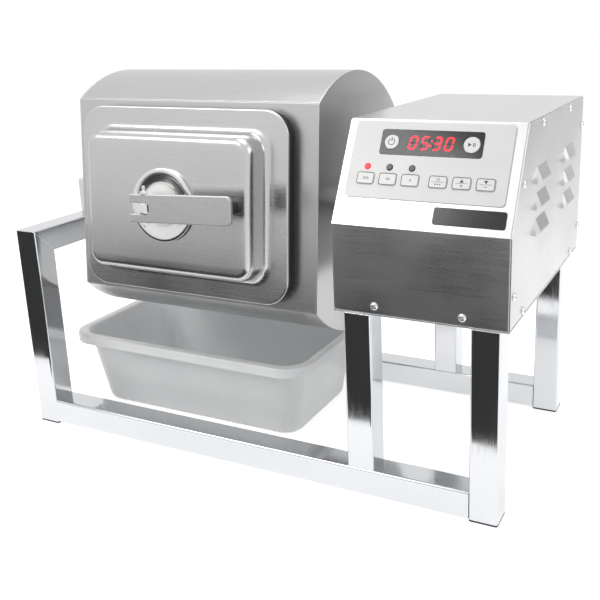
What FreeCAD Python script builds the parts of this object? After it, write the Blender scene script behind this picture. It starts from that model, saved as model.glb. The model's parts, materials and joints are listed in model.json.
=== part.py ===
import FreeCAD, Part
import math
import os
import re

import Sketcher
from FreeCAD import Placement, Rotation, Vector

# Meat vacuum tumbler: a round drum with a flat front and a vacuum lid turns in a frame of square
# tube, driven by a gearmotor in a sheet-metal control box; a tray stands under the drum.
# While it is being built the model's zero is the frame's front left corner on the floor:
# +X to the right, +Y to the back, +Z up. The last step moves the origin to the foot centre.

DRIVING_SIZES = {
    # frame of square tube
    "tube": 30.0,
    "tube_wall": 1.5,
    "tube_corner": 2.5,
    "frame_depth": 300.0,
    "left_height": 252.5,
    "inner_post_inset": 11.0,
    "right_post_inset": 7.0,
    "foot_head": 2.0,
    "foot_plug": 12.0,
    "slip": 0.2,
    "cut_past": 1.0,
    # control box of folded sheet
    "sheet": 1.5,
    "box_gap": 39.5,
    "box_width": 181.0,
    "box_drop": 77.0,
    "box_setback": 1.6,
    "box_overhang": 21.0,
    "front_rise": 89.0,
    "slant_rise": 96.8,
    "slant_angle": 29.1,
    "return_lap": 18.0,
    "base_lip": 16.0,
    "seam": 1.0,
    "screw_hole": 2.2,
    "screw_shank": 2.0,
    "screw_length": 6.0,
    "screw_head": 4.2,
    "screw_head_rise": 2.4,
    "screw_edge": 6.0,
    "screw_low_front": 45.7,
    "screw_low_rear": 46.6,
    "screw_rear_low": 28.6,
    "screw_rear_high": 33.0,
    "screw_high_rear": 80.6,
    "screw_high_front": 55.3,
    "screw_front_depth": 10.7,
    "screw_front_drop": 57.8,
    "screw_slant_depth": 14.2,
    "screw_slant_share": 0.44,
    "front_screw_left": 44.8,
    "front_screw_right": 45.8,
    "front_screw_rise": 8.2,
    # louvres of the right-hand cover
    "louvre_length": 46.0,
    "louvre_height": 17.0,
    "louvre_end": 3.5,
    "louvre_depth": 5.5,
    "louvre_pitch": 26.0,
    "louvre_columns": 131.0,
    "louvre_front": 86.0,
    "louvre_rise": 70.5,
    # drum
    "cradle_axis": 31.0,
    "drum_radius": 150.0,
    "flat_cut": 50.0,
    "drum_left": 67.5,
    "drum_length": 322.0,
    "drum_wall": 1.5,
    "drum_tilt": 5.85,
    "mouth_length": 216.0,
    "mouth_height": 150.0,
    "mouth_corner": 28.0,
    "collar_depth": 12.0,
    "weld_gap": 0.05,
    "baffle_height": 30.0,
    "baffle_half_angle": 6.0,
    "baffle_length": 280.0,
    # bearing on the left and drive on the right
    "journal_radius": 10.0,
    "running_fit": 0.05,
    "block_length": 72.0,
    "block_height": 43.0,
    "bolt_radius": 3.0,
    "bolt_head": 5.0,
    "bolt_head_thick": 3.5,
    "bolt_spread": 52.0,
    "hub_flange": 35.0,
    "hub_flange_thick": 4.0,
    "hub_radius": 18.0,
    "hub_length": 10.0,
    "tongue_thick": 8.0,
    "tongue_width": 30.0,
    "tongue_length": 12.0,
    "dog_gap": 2.0,
    "dog_length": 18.0,
    "dog_clearance": 0.25,
    "shaft_radius": 10.0,
    "shaft_length": 52.0,
    "shaft_hole": 20.0,
    # gearmotor and its bracket
    "bracket_gap": 4.0,
    "bracket_sheet": 3.0,
    "bracket_width": 84.0,
    "gearbox_side": 80.0,
    "gearbox_depth": 56.0,
    "gearbox_corner": 10.0,
    "boss_radius": 15.0,
    "boss_length": 5.0,
    "motor_radius": 33.0,
    "motor_length": 108.0,
    "motor_rise": 26.0,
    # lid
    "lid_shift": 4.5,
    "gasket_thick": 13.0,
    "gasket_inset": 1.5,
    "gasket_width": 14.0,
    "lid_length": 276.0,
    "lid_height": 210.0,
    "lid_corner": 29.0,
    "lid_sheet": 1.5,
    "lid_hem": 3.0,
    "hem_width": 6.0,
    "lid_edge": 2.0,
    "dome_length": 222.0,
    "dome_height": 158.0,
    "dome_corner": 20.0,
    "dome_rise": 30.5,
    "dome_draft": 5.5,
    "dome_edge": 11.0,
    "dome_root": 7.0,
    # valve and lever
    "dish_radius": 40.5,
    "dish_rim": 6.0,
    "dish_rise": 4.0,
    "dish_slope": 6.0,
    "dish_sheet": 1.5,
    "plug_radius": 23.0,
    "plug_edge": 2.5,
    "plug_rise": 7.0,
    "stem_radius": 4.0,
    "stem_fit": 0.1,
    "stem_nut": 9.0,
    "stem_nut_thick": 5.0,
    "valve_travel": 5.0,
    "eye_radius": 5.5,
    "eye_width": 11.0,
    "pivot_rise": 32.0,
    "pin_radius": 2.0,
    "pin_fit": 0.05,
    "pin_above": 9.0,
    "pin_below": 5.0,
    "pin_nut": 4.5,
    "pin_nut_thick": 3.2,
    "lever_length": 129.0,
    "lever_width": 30.0,
    "lever_turn": 2.5,
    "lever_thick": 5.0,
    "lever_corner": 6.0,
    "lever_tail": 20.0,
    "fork_slot": 12.0,
    "fork_depth": 27.0,
    "nose_drop": 4.0,
    "nose_length": 6.0,
    "bumper_radius": 7.5,
    "bumper_tip": 8.5,
    "bumper_place": 89.0,
    "rest_gap": 0.3,
    # control panel, measured along the slanted face from its lower left corner
    "overlay_left": 8.6,
    "overlay_low": 28.5,
    "overlay_length": 161.4,
    "overlay_height": 79.5,
    "overlay_thick": 1.5,
    "overlay_corner": 4.0,
    "window_centre": 89.7,
    "window_row": 86.4,
    "window_length": 104.0,
    "window_height": 26.5,
    "window_corner": 3.0,
    "round_key_offset": 40.5,
    "power_key_radius": 7.3,
    "start_key_radius": 8.0,
    "led_row": 60.4,
    "led_radius": 3.4,
    "key_row": 48.2,
    "key_length": 18.2,
    "key_height": 12.2,
    "key_corner": 2.5,
    "key_pitch": 23.2,
    "speed_keys": 28.6,
    "time_keys": 103.2,
    "key_gap": 0.3,
    "key_travel": 0.5,
    "key_proud": 0.8,
    "key_floor": 0.1,
    "plate_left": 103.5,
    "plate_low": 7.2,
    "plate_length": 70.0,
    "plate_height": 17.0,
    "plate_thick": 0.6,
    "plate_corner": 2.5,
    "display_length": 50.4,
    "display_height": 19.0,
    "board_length": 150.0,
    "board_height": 74.0,
    "board_thick": 1.6,
    "board_standoff": 8.0,
    "board_edge": 5.0,
    "standoff_radius": 3.0,
    # power supply and cable gland
    "supply_length": 98.0,
    "supply_width": 110.0,
    "supply_height": 30.0,
    "supply_corner": 3.0,
    "supply_step": 16.0,
    "supply_step_depth": 18.0,
    "supply_right_gap": 8.5,
    "supply_rear_gap": 24.0,
    "gland_side": 91.0,
    "gland_lift": 55.5,
    "gland_radius": 9.0,
    "gland_flange": 12.0,
    "gland_length": 16.0,
    "gland_bore": 4.0,
    # tray
    "tray_left": 5.0,
    "tray_shift": 9.5,
    "tray_length": 350.0,
    "tray_width": 205.0,
    "tray_height": 100.0,
    "tray_wall": 2.5,
    "tray_lip": 12.0,
    "tray_lip_drop": 12.0,
    "tray_draft": 9.1,
    "tray_corner": 34.0,
    "tray_foot_radius": 6.0,
}

# places and sizes that follow from the driving sizes
FOLLOWING_SIZES = {
    "rail_top": "foot_head + tube",
    "axis_back": "frame_depth / 2",
    "axis_height": "left_height + cradle_axis",
    "drum_right": "drum_left + drum_length",
    "box_left": "drum_right + box_gap",
    "box_bottom": "axis_height - box_drop",
    "post_top": "box_bottom - sheet",
    "box_front": "box_setback",
    "box_rear": "frame_depth + box_overhang",
    "box_right": "box_left + box_width",
    "inner_post_left": "box_left + inner_post_inset",
    "right_post_left": "box_right - right_post_inset - tube",
    "bend_height": "box_bottom + front_rise",
    "slant_run": "slant_rise * tan(slant_angle)",
    "slant_length": "slant_rise / cos(slant_angle)",
    "box_top": "bend_height + slant_rise",
    "slant_top": "box_front + slant_run",
    "louvre_low": "box_bottom + louvre_rise",
    "gland_centre": "box_left + gland_side",
    "gland_rise": "box_bottom + gland_lift",
    "drum_flat": "drum_radius - flat_cut",
    "flat_half": "sqrt(drum_radius ^ 2 - drum_flat ^ 2)",
    "shell_bore": "drum_radius - drum_wall",
    "dog_left": "drum_right + hub_flange_thick + hub_length + dog_gap",
    "bracket_left": "box_left + sheet + bracket_gap",
    "gearbox_left": "bracket_left + bracket_sheet",
    "lid_centre": "drum_left + drum_length / 2 - lid_shift",
    "lid_back": "drum_flat + gasket_thick",
    "lid_web": "lid_back + lid_hem",
    "lid_face": "lid_web + dome_rise",
    "lever_under": "pivot_rise - lever_thick / 2",
    "plug_base": "dish_sheet",
    "key_bottom": "key_travel + key_floor",
    "key_thick": "overlay_thick - key_bottom + key_proud",
    "tray_front": "axis_back + tray_shift - tray_width / 2",
}

WORD = re.compile(r"[a-z][a-z_]*")
doc = FreeCAD.newDocument("VacuumTumbler")
sheet = doc.addObject("Spreadsheet::Sheet", "Sizes")
subparts = []


def spell(formula):
    """Write a formula over size names as an expression that refers to the sheet's cells."""

    def swap(match):
        name = match.group(0)
        if name in DRIVING_SIZES:
            return "Sizes." + name
        if name in FOLLOWING_SIZES:
            return "(" + spell(FOLLOWING_SIZES[name]) + ")"
        return name

    return WORD.sub(swap, str(formula))


def value(formula):
    """The number that a formula over size names gives."""
    result = sheet.evalExpression(spell(formula))
    return float(getattr(result, "Value", result))


def bind(item, path, formula):
    item.setExpression(path, spell(formula))


def fill_sheet():
    for row, (name, number) in enumerate(DRIVING_SIZES.items(), start=1):
        sheet.set(f"A{row}", name)
        sheet.set(f"B{row}", str(number))
        sheet.setAlias(f"B{row}", name)
    doc.recompute()


# ---------------------------------------------------------------- placing


def at(x="0", y="0", z="0", turn=None):
    """A placement in the frame's coordinates, from formulas."""
    return Placement(Vector(value(x), value(y), value(z)), turn or Rotation())


ALONG_X = Rotation(Vector(0, 1, 0), 90)  # local Z runs to the right, local X down
ALONG_Y = Rotation(Vector(1, 0, 0), -90)  # local Z runs to the back, local Y down
TO_FRONT = Rotation(Vector(1, 0, 0), 90)  # local Z runs to the front, local Y up
TO_RIGHT = Rotation(Vector(1, 1, 1), 120)  # local Z runs to the right, local X back, local Y up
TO_LEFT = Rotation(Vector(0, 1, 0), -90) * Rotation(Vector(0, 0, 1), -90)


def drum_frame():
    """Drum coordinates: X along the axis, -Y out through the flat front, turned to the rest tilt."""
    return at("0", "axis_back", "axis_height", Rotation(Vector(1, 0, 0), -value("drum_tilt")))


def lid_frame(rise):
    """Lid coordinates: Z out from the drum's axis, X to the right, Y up the lid, at a given rise."""
    return drum_frame() * at("lid_centre", f"0 - ({rise})", "0", TO_FRONT)


def lever_frame(rise):
    """Lid coordinates turned about the valve's stem, as the lever is left when the lid is closed."""
    return lid_frame(rise) * at(turn=Rotation(Vector(0, 0, 1), value("lever_turn")))


def panel_frame():
    """Panel coordinates: X to the right, Y up the slanted face, Z out of it, at its low left corner."""
    tip = Rotation(Vector(1, 0, 0), 90 - value("slant_angle"))
    return at("box_left", "box_front", "bend_height", tip)


def subpart(item, label, placement=None):
    """Name a finished piece, put it in place and list it as one sub-part."""
    item.Label = label
    if placement is not None:
        item.Placement = placement
    subparts.append(item)
    return item


# ---------------------------------------------------------------- sketches and features


def new_body(name):
    body = doc.addObject("PartDesign::Body", name + "_body")
    body.AllowCompound = True
    return body


def origin_feature(body, role):
    return next(item for item in body.Origin.OriginFeatures if item.Role == role)


def sketch_on(body, role="XY_Plane", lift="0", offset=None):
    """A sketch on one of the body's origin planes, lifted along the plane's normal or offset freely."""
    sketch = body.newObject("Sketcher::SketchObject", body.Name + "_sketch")
    sketch.AttachmentSupport = [(origin_feature(body, role), "")]
    sketch.MapMode = "FlatFace"
    if offset is None:
        bind(sketch, "AttachmentOffset.Base.z", lift)
    else:
        sketch.AttachmentOffset = offset
    return sketch


def pin_point(sketch, shape, vertex, across, up):
    """Fix one point of a sketch at a place given by two formulas."""
    for axis, formula in (("DistanceX", across), ("DistanceY", up)):
        rule = Sketcher.Constraint(axis, -1, 1, shape, vertex, value(formula))
        index = sketch.addConstraint(rule)
        bind(sketch, f"Constraints[{index}]", formula)


def draw_polygon(sketch, points):
    corners = [Vector(value(across), value(up), 0) for across, up in points]
    count = len(corners)
    first = sketch.GeometryCount
    for index in range(count):
        sketch.addGeometry(Part.LineSegment(corners[index], corners[(index + 1) % count]))
    for index, (across, up) in enumerate(points):
        after = first + (index + 1) % count
        sketch.addConstraint(Sketcher.Constraint("Coincident", first + index, 2, after, 1))
        pin_point(sketch, first + index, 1, across, up)


def draw_rectangle(sketch, left, low, length, height):
    right = f"({left}) + ({length})"
    high = f"({low}) + ({height})"
    draw_polygon(sketch, [(left, low), (right, low), (right, high), (left, high)])


def draw_hexagon(sketch, radius):
    """A hexagon about the sketch's zero, by the radius of its corners."""
    turns = range(0, 360, 60)
    draw_polygon(sketch, [(f"{radius} * cos({turn})", f"{radius} * sin({turn})") for turn in turns])


def draw_circle(sketch, across, up, radius):
    centre = Vector(value(across), value(up), 0)
    circle = sketch.addGeometry(Part.Circle(centre, Vector(0, 0, 1), value(radius)))
    pin_point(sketch, circle, 3, across, up)
    index = sketch.addConstraint(Sketcher.Constraint("Radius", circle, value(radius)))
    bind(sketch, f"Constraints[{index}]", radius)


def draw_rounded(sketch, left, low, length, height, corner):
    """A rectangle with round corners: four lines joined by four quarter arcs."""
    low_x, low_y = value(left), value(low)
    high_x, high_y = low_x + value(length), low_y + value(height)
    r = value(corner)
    centres = [
        (f"({left}) + ({corner})", f"({low}) + ({corner})"),
        (f"({left}) + ({length}) - ({corner})", f"({low}) + ({corner})"),
        (f"({left}) + ({length}) - ({corner})", f"({low}) + ({height}) - ({corner})"),
        (f"({left}) + ({corner})", f"({low}) + ({height}) - ({corner})"),
    ]
    sides = [
        (Vector(low_x + r, low_y, 0), Vector(high_x - r, low_y, 0)),
        (Vector(high_x, low_y + r, 0), Vector(high_x, high_y - r, 0)),
        (Vector(high_x - r, high_y, 0), Vector(low_x + r, high_y, 0)),
        (Vector(low_x, high_y - r, 0), Vector(low_x, low_y + r, 0)),
    ]
    lines = [sketch.addGeometry(Part.LineSegment(start, end)) for start, end in sides]
    arcs = []
    for index, (across, up) in enumerate(centres):
        circle = Part.Circle(Vector(value(across), value(up), 0), Vector(0, 0, 1), r)
        start = math.radians(90 * (index + 2))
        arc = Part.ArcOfCircle(circle, start, start + math.pi / 2)
        arcs.append(sketch.addGeometry(arc))
    for index, arc in enumerate(arcs):
        before = lines[index - 1]
        sketch.addConstraint(Sketcher.Constraint("Tangent", before, 2, arc, 1))
        sketch.addConstraint(Sketcher.Constraint("Tangent", arc, 2, lines[index], 1))
        across, up = centres[index]
        pin_point(sketch, arc, 3, across, up)
    index = sketch.addConstraint(Sketcher.Constraint("Radius", arcs[0], r))
    bind(sketch, f"Constraints[{index}]", corner)
    for arc in arcs[1:]:
        sketch.addConstraint(Sketcher.Constraint("Equal", arcs[0], arc))


def tip(feature):
    """Recompute after a feature is set up, and make it the body's tip."""
    doc.recompute()
    feature.getParent().Tip = feature
    if "Invalid" in feature.State or "Error" in feature.State:
        raise ValueError(f"{feature.Name} did not compute")
    return feature


def pad(body, sketch, length, symmetric=False, backward=False, draft=None):
    feature = body.newObject("PartDesign::Pad", body.Name + "_pad")
    feature.Profile = sketch
    feature.SideType = "Symmetric" if symmetric else "One side"
    feature.Reversed = backward
    bind(feature, "Length", length)
    if draft is not None:
        bind(feature, "TaperAngle", draft)
    return tip(feature)


def pocket(body, sketch, depth=None, symmetric=False, backward=False, draft=None):
    """Cut a sketch's shape from a body, and make sure that something was cut."""
    before = body.Shape.Volume
    feature = body.newObject("PartDesign::Pocket", body.Name + "_pocket")
    feature.Profile = sketch
    feature.SideType = "Symmetric" if symmetric else "One side"
    feature.Reversed = backward
    if depth is None:
        feature.Type = "ThroughAll"
    else:
        bind(feature, "Length", depth)
    if draft is not None:
        bind(feature, "TaperAngle", draft)
    tip(feature)
    if not 0 < feature.Shape.Volume < before - 1e-6:
        raise ValueError(f"{feature.Name} cuts nothing")
    return feature


def revolve(body, sketch):
    """Turn a sketch about its own upright axis."""
    feature = body.newObject("PartDesign::Revolution", body.Name + "_turn")
    feature.Profile = sketch
    feature.ReferenceAxis = (sketch, ["V_Axis"])
    feature.Angle = 360
    return tip(feature)


def round_edges(body, test, radius):
    """Fillet the edges of a body's tip that pass a test."""
    base = body.Tip
    names = [f"Edge{n}" for n, edge in enumerate(base.Shape.Edges, start=1) if test(edge)]
    if not names:
        raise ValueError(f"{body.Name} has no edge to round")
    feature = body.newObject("PartDesign::Fillet", body.Name + "_fillet")
    feature.Base = (base, names)
    bind(feature, "Radius", radius)
    return tip(feature)


def bevel_edges(body, test, size):
    """Chamfer the edges of a body's tip that pass a test."""
    base = body.Tip
    names = [f"Edge{n}" for n, edge in enumerate(base.Shape.Edges, start=1) if test(edge)]
    if not names:
        raise ValueError(f"{body.Name} has no edge to bevel")
    feature = body.newObject("PartDesign::Chamfer", body.Name + "_chamfer")
    feature.Base = (base, names)
    bind(feature, "Size", size)
    return tip(feature)


def edges_at_height(height):
    """A test for edges that lie flat at a given local height."""
    z = value(height)
    return lambda edge: abs(edge.BoundBox.ZMin - z) < 0.01 and abs(edge.BoundBox.ZMax - z) < 0.01


def plate(name, left, low, length, height, thick, corner=None):
    """A body that starts as a flat plate on its XY plane."""
    body = new_body(name)
    sketch = sketch_on(body)
    if corner is None:
        draw_rectangle(sketch, left, low, length, height)
    else:
        draw_rounded(sketch, left, low, length, height, corner)
    pad(body, sketch, thick)
    return body


def union_of(name, shapes):
    """A group of separate solids of one kind, as one object."""
    item = doc.addObject("Part::Feature", name)
    item.Shape = Part.makeCompound(shapes)
    return item


# ---------------------------------------------------------------- frame


def square_tube(name, length, mitre_low=False, mitre_high=False):
    """A square tube along local Z. A mitre leaves its side at local Y = 0 at full length."""
    body = new_body(name)
    section = sketch_on(body)
    draw_rounded(section, "0", "0", "tube", "tube", "tube_corner")
    bore = "tube - 2 * tube_wall"
    draw_rounded(section, "tube_wall", "tube_wall", bore, bore, "tube_corner - tube_wall")
    pad(body, section, length)
    if mitre_low:
        cut = sketch_on(body, "YZ_Plane")
        low = "0 - cut_past"
        far = "tube + cut_past"
        draw_polygon(cut, [(low, low), (far, low), (far, far)])
        pocket(body, cut, "4 * tube", symmetric=True)
    if mitre_high:
        cut = sketch_on(body, "YZ_Plane")
        top = f"{length} + cut_past"
        far = "tube + cut_past"
        draw_polygon(cut, [("0 - cut_past", top), (far, f"{length} - ({far})"), (far, top)])
        pocket(body, cut, "4 * tube", symmetric=True)
    return body


def drill_tube(body, up, holes, radius):
    """Drill round holes right across a tube, along its local Y."""
    sketch = sketch_on(body, "XZ_Plane")
    for hole in holes:
        draw_circle(sketch, up, hole, radius)
    pocket(body, sketch, "4 * tube", symmetric=True)


BOLT_PLACES = ["axis_back - bolt_spread / 2", "axis_back + bolt_spread / 2"]


def make_frame():
    left_post = "left_height - foot_head"
    right_post = "post_top - foot_head"
    inner_post = "post_top - rail_top"
    half_turn = Rotation(Vector(0, 0, 1), 180)

    front = square_tube("front_left_post", left_post, mitre_high=True)
    subpart(front, "front_left_post", at("0", "0", "foot_head"))
    rear = square_tube("rear_left_post", left_post, mitre_high=True)
    subpart(rear, "rear_left_post", at("tube", "frame_depth", "foot_head", half_turn))
    top = square_tube("left_top_rail", "frame_depth", mitre_low=True, mitre_high=True)
    drill_tube(top, "tube / 2", BOLT_PLACES, "bolt_radius + slip")
    subpart(top, "left_top_rail", at("0", "0", "left_height", ALONG_Y))

    for label, back in (("front_bottom_rail", "0"), ("rear_bottom_rail", "frame_depth - tube")):
        rail = square_tube(label, "right_post_left - tube")
        subpart(rail, label, at("tube", back, "rail_top", ALONG_X))
    for label, back in (("front_inner_post", "0"), ("rear_inner_post", "frame_depth - tube")):
        post = square_tube(label, inner_post)
        subpart(post, label, at("inner_post_left", back, "rail_top"))
    for label, back in (("front_right_post", "0"), ("rear_right_post", "frame_depth - tube")):
        post = square_tube(label, right_post)
        subpart(post, label, at("right_post_left", back, "foot_head"))


def make_foot_plugs():
    """Plastic end plugs: a flat head under each post that reaches the floor, a stub inside it."""
    body = plate("foot_plug", "0", "0", "tube", "tube", "foot_head", "tube_corner")
    stub = sketch_on(body, lift="foot_head")
    inset = "tube_wall + slip"
    side = "tube - 2 * tube_wall - 2 * slip"
    draw_rounded(stub, inset, inset, side, side, "tube_corner - tube_wall")
    pad(body, stub, "foot_plug")
    feet = []
    for left in ("0", "right_post_left"):
        for back in ("0", "frame_depth - tube"):
            feet.append(body.Shape.transformed(at(left, back).toMatrix()))
    subpart(union_of("foot_plugs", feet), "foot_plugs")


def make_bearing_block():
    """A nylon cradle on the left rail: the drum's journal drops into its open-topped slot."""
    body = new_body("bearing_block")
    face = sketch_on(body, "YZ_Plane")
    draw_rectangle(face, "0 - block_length / 2", "0 - cradle_axis", "block_length", "block_height")
    pad(body, face, "tube")
    round_edges(body, lambda edge: edge.BoundBox.ZMin > value("block_height - cradle_axis") - 0.01
                and edge.BoundBox.YLength < 0.01, "tube_corner")
    slot = "journal_radius + running_fit"
    neck = sketch_on(body, "YZ_Plane")
    draw_rectangle(neck, f"0 - ({slot})", "0", f"2 * ({slot})", "block_height")
    pocket(body, neck, "4 * tube", symmetric=True)
    seat = sketch_on(body, "YZ_Plane")
    draw_circle(seat, "0", "0", slot)
    pocket(body, seat, "4 * tube", symmetric=True)
    bores = sketch_on(body, lift="0 - cradle_axis")
    for side in ("0 - bolt_spread / 2", "bolt_spread / 2"):
        draw_circle(bores, "tube / 2", side, "bolt_radius + slip / 2")
    pocket(body, bores, "cradle_axis / 2 + slip", backward=True)
    subpart(body, "bearing_block", at("0", "axis_back", "axis_height"))


def make_block_bolts():
    """Two bolts that come up through the rail into the bearing block."""
    body = new_body("block_bolt")
    head = sketch_on(body)
    draw_circle(head, "0", "0", "bolt_head")
    pad(body, head, "bolt_head_thick", backward=True)
    shank = sketch_on(body)
    draw_circle(shank, "0", "0", "bolt_radius")
    pad(body, shank, "tube + cradle_axis / 2")
    low = "left_height - tube"
    bolts = [body.Shape.transformed(at("tube / 2", back, low).toMatrix()) for back in BOLT_PLACES]
    subpart(union_of("block_bolts", bolts), "block_bolts")


# ---------------------------------------------------------------- control box


def box_outline(inset, rear="box_rear", low="box_bottom"):
    """The box's side outline, moved inward: front foot, bend, top of the slant, rear top, rear foot."""
    front = f"box_front + ({inset})"
    top = f"box_top - ({inset})"
    back = f"{rear} - ({inset})"
    bend = f"bend_height - ({inset}) * tan(slant_angle / 2)"
    brow = f"slant_top + ({inset}) * tan(45 - slant_angle / 2)"
    foot = f"{low} + ({inset})"
    return [(front, foot), (front, bend), (brow, top), (back, top), (back, foot)]


def side_screws():
    """Places of a side cover's screws, as depth and height, in turn around the outline."""
    low = "box_bottom + screw_edge"
    high = "box_top - screw_edge"
    rear = "box_rear - screw_edge"
    on_slant = "box_front + screw_slant_depth + screw_slant_share * slant_run"
    return [
        ("box_front + screw_front_depth", "bend_height - screw_front_drop"),
        ("box_front + screw_low_front", low),
        ("box_rear - screw_low_rear", low),
        (rear, "box_bottom + screw_rear_low"),
        (rear, "box_top - screw_rear_high"),
        ("box_rear - screw_high_rear", high),
        ("slant_top + screw_high_front", high),
        (on_slant, "bend_height + screw_slant_share * slant_rise"),
    ]


def front_screws():
    """Places of the box front's screws, as distance from the left and height."""
    height = "box_bottom + front_screw_rise"
    return [("box_left + front_screw_left", height), ("box_right - front_screw_right", height)]


def make_hood():
    """The folded wrap: front, slanted panel and top, with return flanges for the side covers."""
    body = new_body("hood_shell")
    wrap = sketch_on(body, "YZ_Plane", "box_left + sheet")
    rear = "box_rear - sheet"
    draw_polygon(wrap, box_outline("0", rear))
    pad(body, wrap, "box_width - 2 * sheet")
    hollow = sketch_on(body, "YZ_Plane", "box_left + 2 * sheet")
    outline = box_outline("sheet", rear)
    beyond = f"{rear} + cut_past"
    below = "box_bottom - cut_past"
    outline[0] = (outline[0][0], below)
    outline[3] = (beyond, outline[3][1])
    outline[4] = (beyond, below)
    draw_polygon(hollow, outline)
    pocket(body, hollow, "box_width - 4 * sheet", backward=True)
    window = sketch_on(body, "YZ_Plane")
    draw_polygon(window, box_outline("return_lap", rear))
    pocket(body, window, backward=True)
    holes = sketch_on(body, "YZ_Plane")
    for depth, height in side_screws():
        draw_circle(holes, depth, height, "screw_hole")
    pocket(body, holes, backward=True)
    front_holes = sketch_on(body, "XZ_Plane")
    for across, height in front_screws():
        draw_circle(front_holes, across, height, "screw_hole")
    pocket(body, front_holes, "box_front + 2 * sheet")
    display = sketch_on(body, offset=panel_frame())
    draw_rectangle(display, "window_centre - display_length / 2 - slip",
                   "window_row - display_height / 2 - slip",
                   "display_length + 2 * slip", "display_height + 2 * slip")
    pocket(body, display, "3 * sheet")
    subpart(body, "hood_shell", at())


def make_base_plate():
    """The box's floor on top of the posts, with an upturned lip behind the box front."""
    body = plate("base_plate", "box_left", "box_front", "box_width", "box_rear - box_front", "sheet")
    lip = sketch_on(body, lift="sheet")
    left = "box_left + 2 * sheet + slip"
    length = "box_width - 4 * sheet - 2 * slip"
    draw_rectangle(lip, left, "box_front + sheet", length, "sheet")
    pad(body, lip, "base_lip")
    holes = sketch_on(body, "XZ_Plane")
    for across, height in front_screws():
        draw_circle(holes, across, f"{height} - post_top", "screw_hole")
    pocket(body, holes, "box_front + 3 * sheet")
    subpart(body, "base_plate", at("0", "0", "post_top"))


def make_rear_panel():
    """The flat back of the box, with the bore of the cable gland."""
    length = "box_width - 2 * sheet"
    body = new_body("rear_panel")
    sketch = sketch_on(body, "XZ_Plane")
    draw_rectangle(sketch, "box_left + sheet", "box_bottom", length, "box_top - box_bottom")
    pad(body, sketch, "sheet")
    bore = sketch_on(body, "XZ_Plane")
    draw_circle(bore, "gland_centre", "gland_rise", "gland_radius + running_fit")
    pocket(body, bore, "3 * sheet", symmetric=True)
    subpart(body, "rear_panel", at("0", "box_rear", "0"))


def side_cover(name):
    """A flat side cover with its screw holes, seen from the right."""
    body = new_body(name)
    sketch = sketch_on(body, "YZ_Plane")
    draw_polygon(sketch, box_outline("seam"))
    pad(body, sketch, "sheet")
    holes = sketch_on(body, "YZ_Plane")
    for depth, height in side_screws():
        draw_circle(holes, depth, height, "screw_hole")
    pocket(body, holes, "3 * sheet", symmetric=True)
    return body


def make_left_side_panel():
    body = side_cover("left_side_panel")
    bore = sketch_on(body, "YZ_Plane")
    draw_circle(bore, "axis_back", "axis_height", "shaft_hole")
    pocket(body, bore, "3 * sheet", symmetric=True)
    subpart(body, "left_side_panel", at("box_left"))


def louvre_outside():
    """A pressed hood: it slopes out from its top edge and ends in a downward mouth."""
    body = new_body("louvre_outside")
    profile = sketch_on(body, "XZ_Plane")
    reach = "sheet + louvre_depth"
    draw_polygon(profile, [
        ("0", "0"), (reach, "0"), (reach, "louvre_height / 4"), ("sheet", "louvre_height"),
        ("0", "louvre_height"),
    ])
    pad(body, profile, "louvre_length", symmetric=True)
    outer = value(reach) - 0.01
    top = value("louvre_height") - 0.01

    def ridge(edge):
        box = edge.BoundBox
        return box.XMin > outer and box.YLength > 1 and box.ZMin > 1

    def ends(edge):
        box = edge.BoundBox
        return box.XMax > outer and box.YLength < 0.01 and box.ZLength > 1

    round_edges(body, ridge, "louvre_depth")
    bevel_edges(body, ends, "louvre_end")
    return body


def louvre_inside():
    """The space under a louvre's hood, with the slot that the hood was pressed out of."""
    body = new_body("louvre_inside")
    profile = sketch_on(body, "XZ_Plane")
    reach = "louvre_depth"
    draw_polygon(profile, [
        ("0 - sheet", "0"), ("sheet", "0"), ("sheet", "0 - sheet"), (reach, "0 - sheet"),
        (reach, "louvre_height / 4"), ("sheet / 2", "louvre_height - sheet"),
        ("0 - sheet", "louvre_height - sheet"),
    ])
    pad(body, profile, "louvre_length - 2 * louvre_end - sheet", symmetric=True)
    return body


def make_right_side_panel():
    """The louvred cover: two columns of three louvres."""
    cover = side_cover("right_side_panel_sheet")
    outside = louvre_outside()
    inside = louvre_inside()
    places = []
    for column in range(2):
        for row in range(3):
            back = f"louvre_front + louvre_length / 2 + {column} * louvre_columns"
            places.append(at("0", back, f"louvre_low + {row} * louvre_pitch"))
    hoods = union_of("louvre_hoods", [outside.Shape.transformed(p.toMatrix()) for p in places])
    hollows = union_of("louvre_hollows", [inside.Shape.transformed(p.toMatrix()) for p in places])
    raised = doc.addObject("Part::Fuse", "cover_with_hoods")
    raised.Base = cover
    raised.Tool = hoods
    panel = doc.addObject("Part::Cut", "right_side_panel_form")
    panel.Base = raised
    panel.Tool = hollows
    doc.recompute()
    subpart(panel, "right_side_panel", at("box_right - sheet"))


def make_panel_screws():
    """Pan-head screws of both side covers and the box front."""
    body = new_body("panel_screw")
    head = sketch_on(body)
    draw_circle(head, "0", "0", "screw_head")
    pad(body, head, "screw_head_rise")
    shank = sketch_on(body)
    draw_circle(shank, "0", "0", "screw_shank")
    pad(body, shank, "screw_length", backward=True)
    screws = []
    for depth, height in side_screws():
        screws.append(at("box_right", depth, height, TO_RIGHT))
        screws.append(at("box_left", depth, height, TO_LEFT))
    for across, height in front_screws():
        screws.append(at(across, "box_front", height, TO_FRONT))
    shapes = [body.Shape.transformed(place.toMatrix()) for place in screws]
    subpart(union_of("panel_screws", shapes), "panel_screws")


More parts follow.
